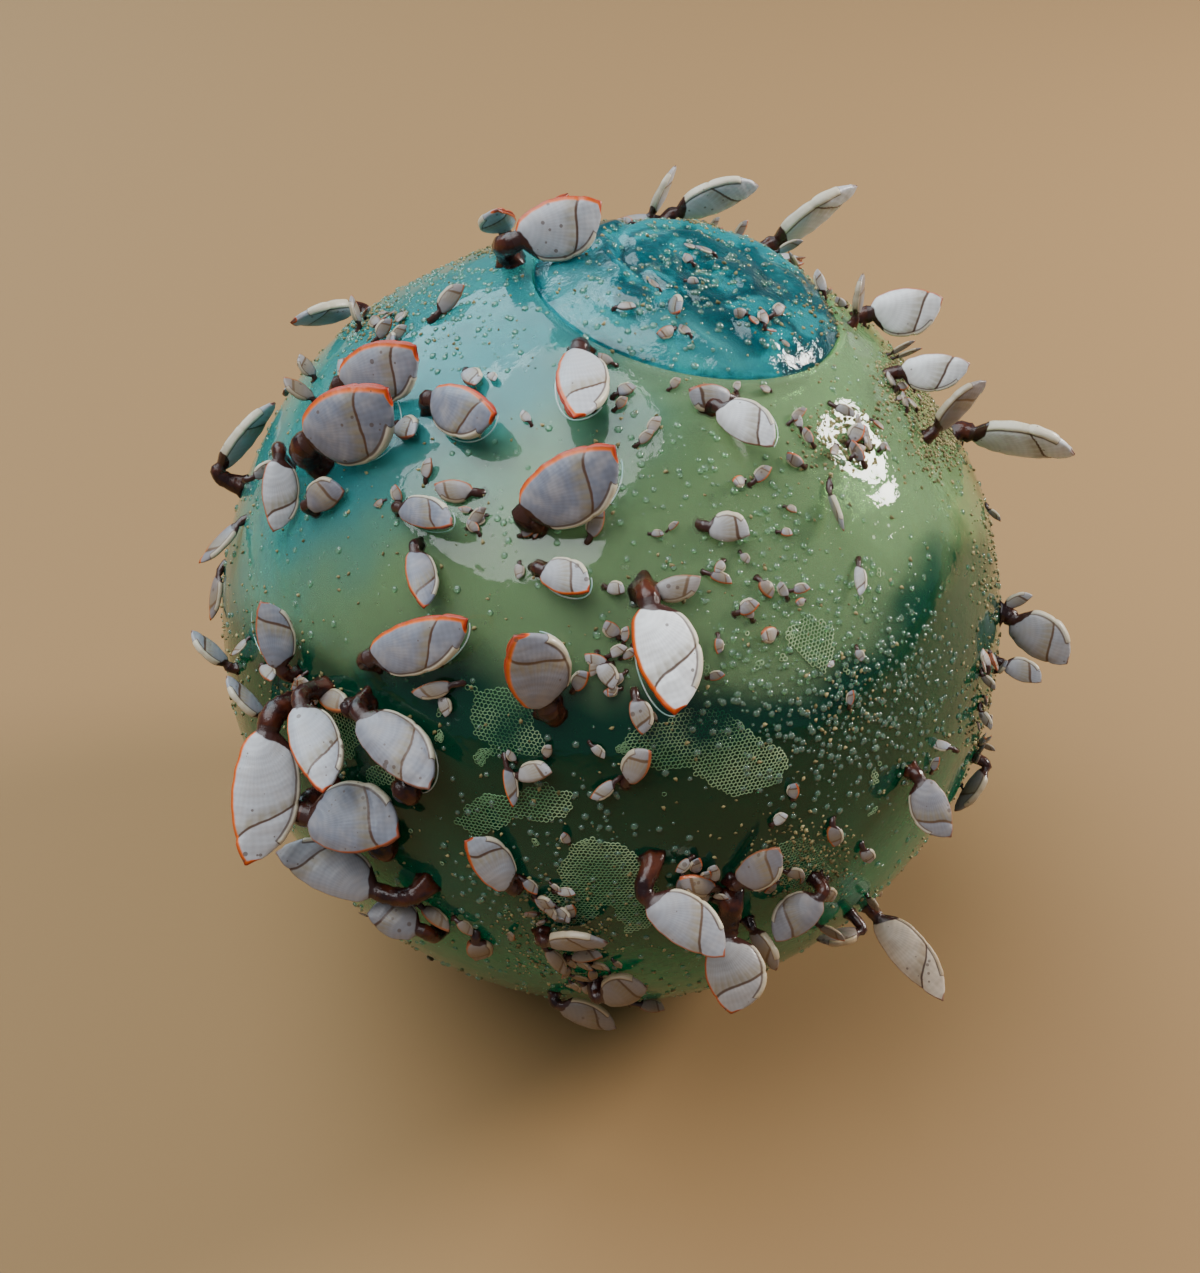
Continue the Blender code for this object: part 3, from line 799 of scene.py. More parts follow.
def seal_glass_material():
    """The thick turquoise glass of the seal: dark folds, a bright front crescent that is a painted highlight,
    and a dark inner ring.
    """
    made, tree, shader, place = shader_material("seal_glass")
    from_centre = vector_calc(tree, "SUBTRACT", place, tuple(BALL_CENTRE))
    crossed = vector_calc(tree, "CROSS_PRODUCT", from_centre, tuple(SEAL_AXIS))
    share = calc(tree, "DIVIDE", vector_calc(tree, "LENGTH", crossed, output="Value"), SEAL_RADIUS)
    frontward = vector_calc(tree, "DOT_PRODUCT", from_centre, SEAL_FRONT, output="Value")
    uneven = times(tree, minus(tree, grain(tree, place, 130.0), 0.5), 0.5)
    # The bright front crescent is a painted highlight
    crescent = times(tree, ramp(tree, plus(tree, share, uneven), 0.58, 0.72), ramp(tree, share, 0.98, 0.93))
    crescent = times(tree, crescent, ramp(tree, frontward, 3 * MM, 9 * MM))
    folds = ramp(tree, grain(tree, place, 110.0, 4.0), 0.47, 0.58)
    tint = mix(tree, folds, *SEAL_FOLDS)
    tint = mix(tree, crescent, tint, SEAL_HIGHLIGHT)
    ring = ramp(tree, calc(tree, "ABSOLUTE", minus(tree, share, SEAL_RING_SHARE)), 0.04, 0.015)
    tint = mix(tree, times(tree, ring, 0.7), tint, SEAL_RING_TINT)
    normal = bumped(tree, fine_relief(tree, place, 210.0, 1100.0, 0.4), 0.6, 0.5 * MM)
    plug(tree, shader, Base_Color=tint, Roughness=0.05, Normal=normal, IOR=GLASS_IOR,
         Transmission_Weight=0.82, Specular_IOR_Level=0.42)
    return made


def mottled(name, colours, scale, detail, low, high, **finish):
    """A plain finish between two colours, mixed by a grain."""
    made, tree, shader, place = shader_material(name)
    blend = ramp(tree, grain(tree, place, scale, detail), low, high)
    plug(tree, shader, Base_Color=mix(tree, blend, *colours), **finish)
    return made


def bubble_material():
    """Blisters of clear glass."""
    made, tree, shader, place = shader_material("glass_bubble")
    pale = mix(tree, grain(tree, place, 60.0, 1.0), *BUBBLE_COLOURS)
    plug(tree, shader, Base_Color=pale, Roughness=0.04, IOR=GLASS_IOR, Transmission_Weight=0.88)
    return made


def crumb_material():
    """Crumbs of dried growth, from dark olive to straw yellow."""
    return mottled("dried_crumbs", CRUMB_COLOURS, 500.0, 1.0, 0.3, 0.7, Roughness=0.7)


def lace_material():
    """Chalky pale green cell walls."""
    return mottled("bryozoan_lace", LACE_COLOURS, 90.0, 2.0, 0.35, 0.65, Roughness=0.55)


def rim_highlight_material():
    """A real bead of water or salt clinging beside a shell, its bright pale colour a painted highlight."""
    return mottled("salt_rim", RIM_HIGHLIGHT_COLOURS, 300.0, 2.0, 0.35, 0.65, Roughness=0.08, IOR=1.45,
                   Transmission_Weight=0.35)


# Meshes from grids of points


def curve_through(points, at):
    """A smooth curve through a few points, read at given places."""
    x, y = np.array(points, float).T
    slope = np.gradient(y, x)
    i = np.clip(np.searchsorted(x, at, side="right") - 1, 0, len(x) - 2)
    run = x[i + 1] - x[i]
    t = (at - x[i]) / run
    start = (1 + 2 * t) * (1 - t) ** 2 * y[i] + t * (1 - t) ** 2 * run * slope[i]
    end = t ** 2 * (3 - 2 * t) * y[i + 1] + t ** 2 * (t - 1) * run * slope[i + 1]
    return start + end


def smooth_step(value, low, high):
    t = np.clip((value - low) / (high - low), 0, 1)
    return t * t * (3 - 2 * t)


def loft_faces(rings, sides, first=0):
    """Quads between rings of points, each ring's points numbered on from the last."""
    ring, side = np.meshgrid(np.arange(rings - 1), np.arange(sides), indexing="ij")
    beside = (side + 1) % sides
    low = first + ring * sides
    high = low + sides
    return np.stack([low + side, low + beside, high + beside, high + side], -1).reshape(-1, 4)


def mesh_of(name, points, faces):
    """A mesh from points in metres and a list of faces."""
    made = bpy.data.meshes.new(name)
    made.from_pydata(np.asarray(points, float).tolist(), [], [tuple(map(int, f)) for f in faces])
    made.validate()
    return made


def add_attribute(mesh, name, values):
    made = mesh.attributes.new(name, "FLOAT", "POINT")
    made.data.foreach_set("value", np.ascontiguousarray(values, np.float32))


def in_scene(name, data):
    """A new object in the scene, at the origin."""
    made = bpy.data.objects.new(name, data)
    bpy.context.scene.collection.objects.link(made)
    return made


def add_piece(name, mesh, *materials):
    """An object at the origin, shaded smooth."""
    for finish in materials:
        mesh.materials.append(finish)
    mesh.shade_smooth()
    return in_scene(name, mesh)


def carried(piece, node_name=None):
    """Lets a piece ride on the one body, and hides the solid it takes the place of."""
    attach(piece, "root")
    if node_name:
        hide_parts(node_name)


def bezier(points, share):
    a, b, c, d = points
    rest = 1 - share
    return a * rest ** 3 + b * 3 * rest ** 2 * share + c * 3 * rest * share ** 2 + d * share ** 3


def bezier_way(points, share):
    a, b, c, d = points
    rest = 1 - share
    return ((b - a) * rest ** 2 + (c - b) * 2 * rest * share + (d - c) * share ** 2).normalized()


def section_angles(sides):
    """Angles round a section, closer together at the opening edge and at the keel."""
    even = np.arange(sides) / sides * math.tau
    return even - EDGE_CROWDING * np.sin(2 * even)


def plate_relief(along_mm, y, z, length, width, seed):
    """Raises the lips and the keel strip, sinks the suture and the cleft, and measures from each of them."""
    l_mm, w_mm = length / MM, width / MM
    step = np.hypot(np.roll(y, -1, 1) - y, np.roll(z, -1, 1) - z)
    way_round = np.cumsum(step, 1) - step
    whole = step.sum(1, keepdims=True)
    lip_scale = min(LIP_SCALES[1], max(LIP_SCALES[0], TYPICAL_WIDTH / width))
    from_lip = np.minimum(way_round, whole - way_round) / MM * lip_scale
    strip = max(KEEL_STRIP_SHARE * width, KEEL_STRIP_LEAST)
    from_keel = np.abs(way_round - whole / 2) / strip * KEEL_STRIP / MM
    top = y.max(1, keepdims=True)
    bottom = y.min(1, keepdims=True)
    level = (y - bottom) / np.maximum(top - bottom, 1e-6)
    share = along_mm / l_mm
    curve = SUTURE_CURVE[0] + SUTURE_CURVE[1] * math.sin(seed)
    bend = curve * np.sin(math.tau * level) + SUTURE_SHIFT * math.sin(2.4 * seed)
    suture_at = SUTURE_AT_KEEL + (SUTURE_AT_OPENING - SUTURE_AT_KEEL) * level ** SUTURE_BOW + bend
    past_suture = (share - suture_at) * l_mm * SUTURE_SLANT

    # The lips run on round the tip to the keel, and the keel strip fades out before both ends
    end_edge = from_keel + np.clip(0.95 - share, 0, 1) * 60
    from_lip = np.minimum(from_lip, end_edge)
    from_keel = from_keel + np.clip(share - 0.80, 0, 1) * 40 + np.clip(0.10 - share, 0, 1) * 30

    # Rays and growth lines start from the corner where the plate began to grow
    umbo_x, umbo_y = 0.02 * l_mm, UMBO_SHARE * w_mm
    fan = np.arctan2(y / MM - umbo_y, along_mm - umbo_x + 0.4)
    growth = np.hypot(along_mm - umbo_x, y / MM - umbo_y)
    from_sleeve = along_mm - (0.015 + SLEEVE_SHARE * (1 - level) ** 1.3) * l_mm

    size = min(1.0, w_mm / FULL_RELIEF_WIDTH_MM)
    rise = -SUTURE_DEPTH * np.exp(-(past_suture * MM / SUTURE_HALF_WIDTH) ** 2)
    rise += TIP_PLATE_STEP * smooth_step(past_suture, 0.1, 0.9)
    rise += KEEL_STRIP_RISE * smooth_step(from_keel * MM, KEEL_STRIP, KEEL_STRIP - KEEL_STRIP_EDGE)
    rise -= KEEL_GROOVE_DEPTH * np.exp(-((from_keel * MM - KEEL_STRIP) / KEEL_GROOVE_HALF_WIDTH) ** 2)
    rise += LIP_RISE * np.exp(-((from_lip * MM - LIP) / LIP_HALF_WIDTH) ** 2)
    rise -= CLEFT_DEPTH * np.exp(-(from_lip * MM / CLEFT_HALF_WIDTH) ** 2)
    rise += GROWTH_RELIEF * np.sin(growth * GROWTH_PER_MM)
    rise += DENTS * np.sin(1.3 * along_mm + 2.1 * seed) * np.sin(1.6 * y / MM + seed + 0.7 * along_mm)
    rise *= size * smooth_step(share, 0.0, 0.12) * smooth_step(share, 1.0, 0.93)
    fields = {
        "past_suture": past_suture, "from_lip": from_lip, "from_keel": from_keel,
        "from_sleeve": from_sleeve, "fan": fan, "growth": growth,
    }
    return rise, fields


def shell_rings(length, width, rings, sides, seed):
    """A shell's sections: y towards the opening and z off its flat side, with what each point is near."""
    share = np.linspace(0, 1, rings)
    share = share - END_CROWDING * np.sin(math.tau * share)
    theta = section_angles(sides)[None, :]
    opening_grown = 1 + OUTLINE_UNEVEN * np.sin(1.3 * seed + 5 * share) * share
    keel_grown = 1 + OUTLINE_UNEVEN * np.cos(2.1 * seed + 4 * share) * share
    opening = (curve_through(OPENING_EDGE, share) * opening_grown)[:, None] * width
    keel = (curve_through(KEEL_EDGE, share) * keel_grown)[:, None] * width
    thick = curve_through(HALF_THICKNESS, share)[:, None] * width
    y = np.where(np.cos(theta) > 0, opening, keel) * np.cos(theta)
    sharpness = SECTION_SHARPNESS[0] + SECTION_SHARPNESS[1] * np.cos(theta)
    blend = smooth_step(share, 0, 0.15)[:, None]
    sharpness = 1 + (sharpness - 1) * blend
    z = thick * np.sign(np.sin(theta)) * np.abs(np.sin(theta)) ** sharpness
    along = np.broadcast_to((share * length)[:, None], y.shape)
    rise, fields = plate_relief(along / MM, y, z, length, width, seed)
    side_y = np.roll(y, -1, 1) - np.roll(y, 1, 1)
    side_z = np.roll(z, -1, 1) - np.roll(z, 1, 1)
    size = np.maximum(np.hypot(side_y, side_z), 1e-9)
    return along, y + rise * side_z / size, z - rise * side_y / size, fields


def stalk_rings(bend, width, rings, sides, seed):
    """A stalk's rings: their centres, ways and half sizes, wrinkled, flared where it grips the glass."""
    theta = section_angles(sides)
    radius = STALK_SHARE * width
    centres, ways, outlines = [], [], []
    for i in range(rings):
        share = i / rings
        centres.append(bezier(bend, share))
        ways.append(bezier_way(bend, share))
        grip = math.exp(-share * GRIP_FADE)
        lobes = 1 + FOOT_LOBES[0] * grip * np.sin(3 * theta + seed)
        lobes += FOOT_LOBES[1] * grip * np.sin(5 * theta + 2 * seed)
        wrinkle = 1 + STALK_WRINKLES[0] * math.sin(i * 2.1 + seed) * (1 - grip)
        wrinkle = wrinkle + STALK_WRINKLES[1] * np.sin(7 * theta + i)
        outlines.append(radius * (1 + (FOOT_FLARE - 1 + EXTRA_FLARE) * grip) * lobes * wrinkle)
    return centres, ways, np.array(outlines), theta


def barnacle_mesh(name, bend, stance, length, width, rings, sides, stalk_count, look, seed):
    """Stalk and shell as one skin. Points are in metres from where bend and stance are measured."""
    _, along, flat = stance
    across = along.cross(flat)
    centres, ways, outlines, theta = stalk_rings(bend, width, stalk_count, sides, seed)
    points = []
    for centre, way, outline in zip(centres, ways, outlines):
        turn = along.rotation_difference(way)
        wide = np.array(turn @ across)
        thick = np.array(turn @ flat)
        ring = np.outer(outline * np.cos(theta), wide) + np.outer(outline * np.sin(theta), thick)
        points.append(np.array(centre) + ring)
    run, y, z, fields = shell_rings(length, width, rings, sides, seed)
    base = np.array(bend[-1])
    for i in range(rings):
        ring = np.outer(run[i], along) + np.outer(y[i], across) + np.outer(z[i], flat)
        points.append(base + ring)
    points = np.concatenate(points)
    total = stalk_count + rings
    faces = [list(f) for f in loft_faces(total, sides)]
    faces.append(list(range(sides))[::-1])
    faces.append(list(range((total - 1) * sides, total * sides)))
    mesh = mesh_of(name, points, faces)
    stalk_points = stalk_count * sides
    for label, values in fields.items():
        whole = np.zeros(total * sides)
        whole[stalk_points:] = values.ravel()
        if label == "from_sleeve":
            whole[:stalk_points] = -2
        elif label in ("from_lip", "from_keel"):
            whole[:stalk_points] = 5
        add_attribute(mesh, label, whole)
    for label, value in look._asdict().items():
        add_attribute(mesh, label, np.full(total * sides, value))
    stalk_faces = (stalk_count - 1) * sides
    index = np.zeros(len(faces), np.int32)
    index[:stalk_faces] = 1
    index[-2] = 1
    mesh.polygons.foreach_set("material_index", index)
    return mesh


def outward_faces(mesh):
    """Turns a closed mesh's faces outwards."""
    work = bmesh.new()
    work.from_mesh(mesh)
    bmesh.ops.recalc_face_normals(work, faces=work.faces)
    work.to_mesh(mesh)
    work.free()


def build_barnacle(name, node_name, stance, length, width, standoff, foot_out, look, finishes):
    """One goose barnacle in place of its solid."""
    out, along, flat = stance
    base = out * (glass_radius(out) + base_height(stance, length, width) + standoff)
    if foot_out is None:
        level = along - out * along.dot(out)
        foot_out = (base - level * REACH_SHARE * length).normalized()
    foot = foot_out * (glass_radius(foot_out) - FOOT_SINK)
    pull = (base - foot).length * BEND_PULL
    bend = [p + BALL_CENTRE for p in (foot, foot + foot_out * pull, base - along * pull, base)]
    rings = max(20, round(length / RING_STEP))
    stalk_count = max(5, round((base - foot).length / STALK_STEP))
    seed = sum(ord(letter) for letter in name) % 17
    mesh = barnacle_mesh(name, bend, stance, length, width, rings, SIDES, stalk_count, look, seed)
    outward_faces(mesh)
    carried(add_piece(name, mesh, *finishes), node_name)


# How a barnacle on the far side looks
FAR_LOOK = Look(0.5, 0.4, 0.05)


def build_barnacles(finishes):
    """Every large barnacle, seen or unseen, in place of its own solid."""
    for members, stance_of in ((SEEN, stance_seen), (UNSEEN, stance_unseen)):
        for place, rows in members.items():
            for number, row in enumerate(rows, 1):
                shown = isinstance(row, Seen)
                foot_out = outward(row.foot, BALL_RADIUS) if shown and row.foot else None
                standoff = row.standoff * MM if shown else 0
                look = Look(row.orange, row.bleach, row.brown) if shown else FAR_LOOK
                names = (f"goose_barnacle_{place}_{number}", f"barnacle_{place}_{number}")
                sizes = (row.length * MM, row.width * MM, standoff)
                build_barnacle(*names, stance_of(row), *sizes, foot_out, look, finishes)


# The glass


def turned_grid(angles, radii_of, sides):
    """Points on rings about the seal's axis, from the angles off it and a radius for each way out."""
    tilt = Matrix.Rotation(SEAL_TILT, 3, "Y")
    points = []
    for angle in angles:
        for i in range(sides):
            turn = math.tau * i / sides
            aside = math.sin(angle)
            way = tilt @ Vector((aside * math.cos(turn), aside * math.sin(turn), math.cos(angle)))
            points.append(BALL_CENTRE + way * radii_of(angle, turn, way))
    return points


def waves(way, amount, wave_length):
    """Smooth random swells of a given size on the ball, from -amount to amount."""
    return amount * noise.noise(way * (BALL_RADIUS / wave_length))


def outer_radius(angle, turn, way):
    """The ball's skin: the solid's radius with the swells that blowing left in it."""
    swells = waves(way, GLASS_WAVE, GLASS_WAVE_LENGTH) + waves(way, GLASS_RIPPLE, GLASS_RIPPLE_LENGTH)
    return ball_radius_at(angle) + swells * min(1, (angle - SEAL_ANGLE) / WAVES_START)


def inner_radius(angle, turn, way):
    """The inner skin, with longer and deeper swells than the outer one."""
    return INNER_WALL + waves(way, INNER_WAVE, INNER_WAVE_LENGTH)


def close_pole(points, faces, first, sides, place, flip):
    """Closes a ring with a fan to one point on the axis."""
    points.append(place)
    centre = len(points) - 1
    for i in range(sides):
        j = (i + 1) % sides
        faces.append((first + j, first + i, centre) if flip else (first + i, first + j, centre))


OUTER_RINGS = 150
SEAT_RINGS = 10
INNER_RINGS = 70
GLASS_SIDES = 288
INNER_SIDES = 140
OUTER_POLE = math.radians(0.6)
INNER_POLE = math.radians(1)
INNER_WALL = BALL_RADIUS - WALL
SEAT_RADIUS = ball_radius_at(SEAL_ANGLE) - SEAL_SEAT_DEPTH


def rest_on_floor(points):
    """Flattens what would reach below the floor."""
    for point in points:
        point.z = max(point.z, 0)


def build_ball(finish, inner_finish):
    """The hollow ball: outer skin, the seat under the seal, and the inner skin of the wall."""
    seat = [SEAL_ANGLE * i / SEAT_RINGS for i in range(1, SEAT_RINGS + 1)]
    points = turned_grid(seat, lambda *_: SEAT_RADIUS, GLASS_SIDES)
    last = math.pi - OUTER_POLE
    outer = [SEAL_ANGLE + (last - SEAL_ANGLE) * i / OUTER_RINGS for i in range(OUTER_RINGS + 1)]
    points += turned_grid(outer, outer_radius, GLASS_SIDES)
    rings = SEAT_RINGS + OUTER_RINGS + 1
    bottom_ring = (rings - 1) * GLASS_SIDES
    faces = [tuple(f)[::-1] for f in loft_faces(rings, GLASS_SIDES)]
    close_pole(points, faces, 0, GLASS_SIDES, BALL_CENTRE + SEAL_AXIS * SEAT_RADIUS, False)
    close_pole(points, faces, bottom_ring, GLASS_SIDES, BALL_CENTRE - SEAL_AXIS * BALL_RADIUS, True)
    rest_on_floor(points)
    outer_faces = len(faces)

    first = len(points)
    inner = [INNER_POLE + (math.pi - 2 * INNER_POLE) * i / INNER_RINGS for i in range(INNER_RINGS + 1)]
    points += turned_grid(inner, inner_radius, INNER_SIDES)
    faces += [tuple(f) for f in loft_faces(INNER_RINGS + 1, INNER_SIDES, first)]
    close_pole(points, faces, first, INNER_SIDES, BALL_CENTRE + SEAL_AXIS * INNER_WALL, True)
    end = first + INNER_RINGS * INNER_SIDES
    close_pole(points, faces, end, INNER_SIDES, BALL_CENTRE - SEAL_AXIS * INNER_WALL, False)

    mesh = mesh_of("glass_ball", points, faces)
    index = np.zeros(len(faces), np.int32)
    index[outer_faces:] = 1
    mesh.polygons.foreach_set("material_index", index)
    carried(add_piece("glass_ball", mesh, finish, inner_finish), "float_ball")


SEAL_RINGS = 70
SEAL_SIDES = 240


def seal_top_radius(angle, turn, way):
    """The seal's top with the swirl that twisting off the glass left in it, and a shallow ring."""
    share = angle / SEAL_ANGLE
    drift = noise.noise(way * 9.0)
    swirl = math.sin(3 * turn + 7 * share + 5 * drift) * SEAL_SWIRL
    swirl += math.sin(2 * turn - 11 * share + 8 * drift) * 0.5 * SEAL_SWIRL
    ring = -SEAL_RING_DEPTH * math.exp(-((share - SEAL_RING_SHARE) / SEAL_RING_SPREAD) ** 2)
    calm = (1 - share ** 8) * min(1, share / 0.12)
    return seal_radius_at(angle) + (swirl + ring) * calm


def build_seal(finish):
    """The button of glass over the blow hole."""
    side = SEAL_ANGLE - GAP / BALL_RADIUS
    bottom = SEAT_RADIUS + GAP
    top = [side * i / SEAL_RINGS for i in range(1, SEAL_RINGS + 1)]
    under = top[::-3]
    points = turned_grid(top, seal_top_radius, SEAL_SIDES)
    points += turned_grid(under, lambda *_: bottom, SEAL_SIDES)
    rings = len(top) + len(under)
    faces = [tuple(f) for f in loft_faces(rings, SEAL_SIDES)]
    close_pole(points, faces, 0, SEAL_SIDES, BALL_CENTRE + SEAL_AXIS * seal_radius_at(0), True)
    close_pole(points, faces, (rings - 1) * SEAL_SIDES, SEAL_SIDES, BALL_CENTRE + SEAL_AXIS * bottom, False)
    mesh = mesh_of("glass_seal", points, faces)
    outward_faces(mesh)
    carried(add_piece("glass_seal", mesh, finish), "seal_button")


# What repeats on the glass is placed by geometry nodes


def grown(name, carrier, tree, values):
    """The tree's result on a carrier mesh, as a plain piece of its own that rides on the ball."""
    holder = in_scene(f"{name}_carrier", carrier)
    modifier = holder.modifiers.new(tree.name, "NODES")
    modifier.node_group = tree
    for item in tree.interface.items_tree:
        if item.item_type == "SOCKET" and item.in_out == "INPUT" and item.name in values:
            modifier[item.identifier] = values[item.name]
    evaluated = holder.evaluated_get(bpy.context.evaluated_depsgraph_get())
    mesh = bpy.data.meshes.new_from_object(evaluated)
    mesh.name = name
    bpy.data.objects.remove(holder)
    carried(in_scene(name, mesh))


def repeat_over(tree, name, shape, carrier, values):
    """A piece in which the tree repeats one shape over a carrier. The shape's own object goes again."""
    thing = in_scene(shape.name, shape)
    thing.hide_render = True
    thing.hide_viewport = True
    grown(name, carrier, tree, values | {"Thing": thing})
    bpy.data.objects.remove(thing)


GEOMETRY = "NodeSocketGeometry"
OBJECT = "NodeSocketObject"
MATERIAL = "NodeSocketMaterial"
INTEGER = "NodeSocketInt"


def geometry_tree(name, inputs):
    """An empty geometry tree. Each takes a carrier and a material, and gives geometry."""
    shared = {"Geometry": (GEOMETRY, None), "Material": (MATERIAL, None)}
    return group(name, "GeometryNodeTree", shared | inputs, {"Geometry": GEOMETRY})


def named(tree, name, data_type):
    inputs = {"Name": name}
    return node(tree, "GeometryNodeInputNamedAttribute", inputs, output="Attribute", data_type=data_type)


def repeated(tree, thing, points, rotation, scale):
    """The given object, set at every point."""
    shape = node(tree, "GeometryNodeObjectInfo", {"Object": thing}, output="Geometry")
    inputs = {"Points": points, "Instance": shape, "Rotation": rotation, "Scale": scale}
    return node(tree, "GeometryNodeInstanceOnPoints", inputs, output="Instances")


def round_bars(tree, lines, sides, radius):
    """A round bar along every line of a mesh, with closed ends."""
    curves = node(tree, "GeometryNodeMeshToCurve", {"Mesh": lines}, output="Curve")
    circle = {"Resolution": sides, "Radius": radius}
    section = node(tree, "GeometryNodeCurvePrimitiveCircle", circle, output="Curve")
    inputs = {"Curve": curves, "Profile Curve": section, "Fill Caps": True}
    return node(tree, "GeometryNodeCurveToMesh", inputs, output="Mesh")


def finished(tree, leave, geometry, material):
    """Ends a tree: instances made real, shaded smooth, with their material."""
    real = node(tree, "GeometryNodeRealizeInstances", {"Geometry": geometry}, output="Geometry")
    smooth = node(tree, "GeometryNodeSetShadeSmooth", {"Geometry": real}, output="Geometry")
    inputs = {"Geometry": smooth, "Material": material}
    done = node(tree, "GeometryNodeSetMaterial", inputs, output="Geometry")
    tree.links.new(done, leave.inputs["Geometry"])


def scatter_tree():
    """Small things strewn over the glass, as thickly as the attribute of that name says."""
    tree, given, leave = geometry_tree("strewn on the glass", {
        "Thing": (OBJECT, None), "Per square metre": (FLOAT, 1e5), "Smallest": (FLOAT, 0.5),
        "Largest": (FLOAT, 1.5), "Seed": (INTEGER, 1)})
    density = times(tree, named(tree, "thickly", "FLOAT"), given["Per square metre"])
    strewn = tree.nodes.new("GeometryNodeDistributePointsOnFaces")
    for key, value in {"Mesh": given["Geometry"], "Density": density, "Seed": given["Seed"]}.items():
        tree.links.new(value, strewn.inputs[key])
    limits = {"Min": given["Smallest"], "Max": given["Largest"], "Seed": given["Seed"]}
    size = node(tree, "FunctionNodeRandomValue", limits, output="Value", data_type="FLOAT")
    spin = node(tree, "FunctionNodeRandomValue", {"Max": (0.0, 0.0, math.tau), "Seed": given["Seed"]},
                output="Value", data_type="FLOAT_VECTOR")
    turned = node(tree, "FunctionNodeRotateRotation",
                  {"Rotation": strewn.outputs["Rotation"], "Rotate By": spin}, output="Rotation",
                  rotation_space="LOCAL")
    things = repeated(tree, given["Thing"], strewn.outputs["Points"], turned, size)
    finished(tree, leave, things, given["Material"])
    return tree


def placed_tree():
    """One thing at each given point, turned along its own axes and sized by its own attributes."""
    tree, given, leave = geometry_tree("placed on the glass", {"Thing": (OBJECT, None)})
    axes = {0: named(tree, "along", "FLOAT_VECTOR"), 1: named(tree, "flat", "FLOAT_VECTOR")}
    turned = node(tree, "FunctionNodeAxesToRotation", axes, primary_axis="X", secondary_axis="Z")
    points = node(tree, "GeometryNodeMeshToPoints", {"Mesh": given["Geometry"]}, output="Points")
    things = repeated(tree, given["Thing"], points, turned, named(tree, "size", "FLOAT_VECTOR"))
    finished(tree, leave, things, given["Material"])
    return tree


def net_tree():
    """A net of cell walls: the cells round the points of a lattice, their edges made round bars."""
    tree, given, leave = geometry_tree("net of cells", {"Bar radius": (FLOAT, 0.07 * MM)})
    cells = node(tree, "GeometryNodeDualMesh", {"Mesh": given["Geometry"]})
    finished(tree, leave, round_bars(tree, cells, 3, given["Bar radius"]), given["Material"])
    return tree


def rim_tree():
    """A thin round bead along each line of a mesh."""
    tree, given, leave = geometry_tree("bead along lines", {"Bead radius": (FLOAT, 0.12 * MM)})
    finished(tree, leave, round_bars(tree, given["Geometry"], 6, given["Bead radius"]), given["Material"])
    return tree


class Young(NamedTuple):
    """A young barnacle: pixels where its shell starts and ends, which give its size, and its look."""
    base: tuple
    tip: tuple
    width: float            # as a share of its length
    tint: float             # 0 white, 1 brown
    lift: Optional[float] = 12
    turn: float = 0


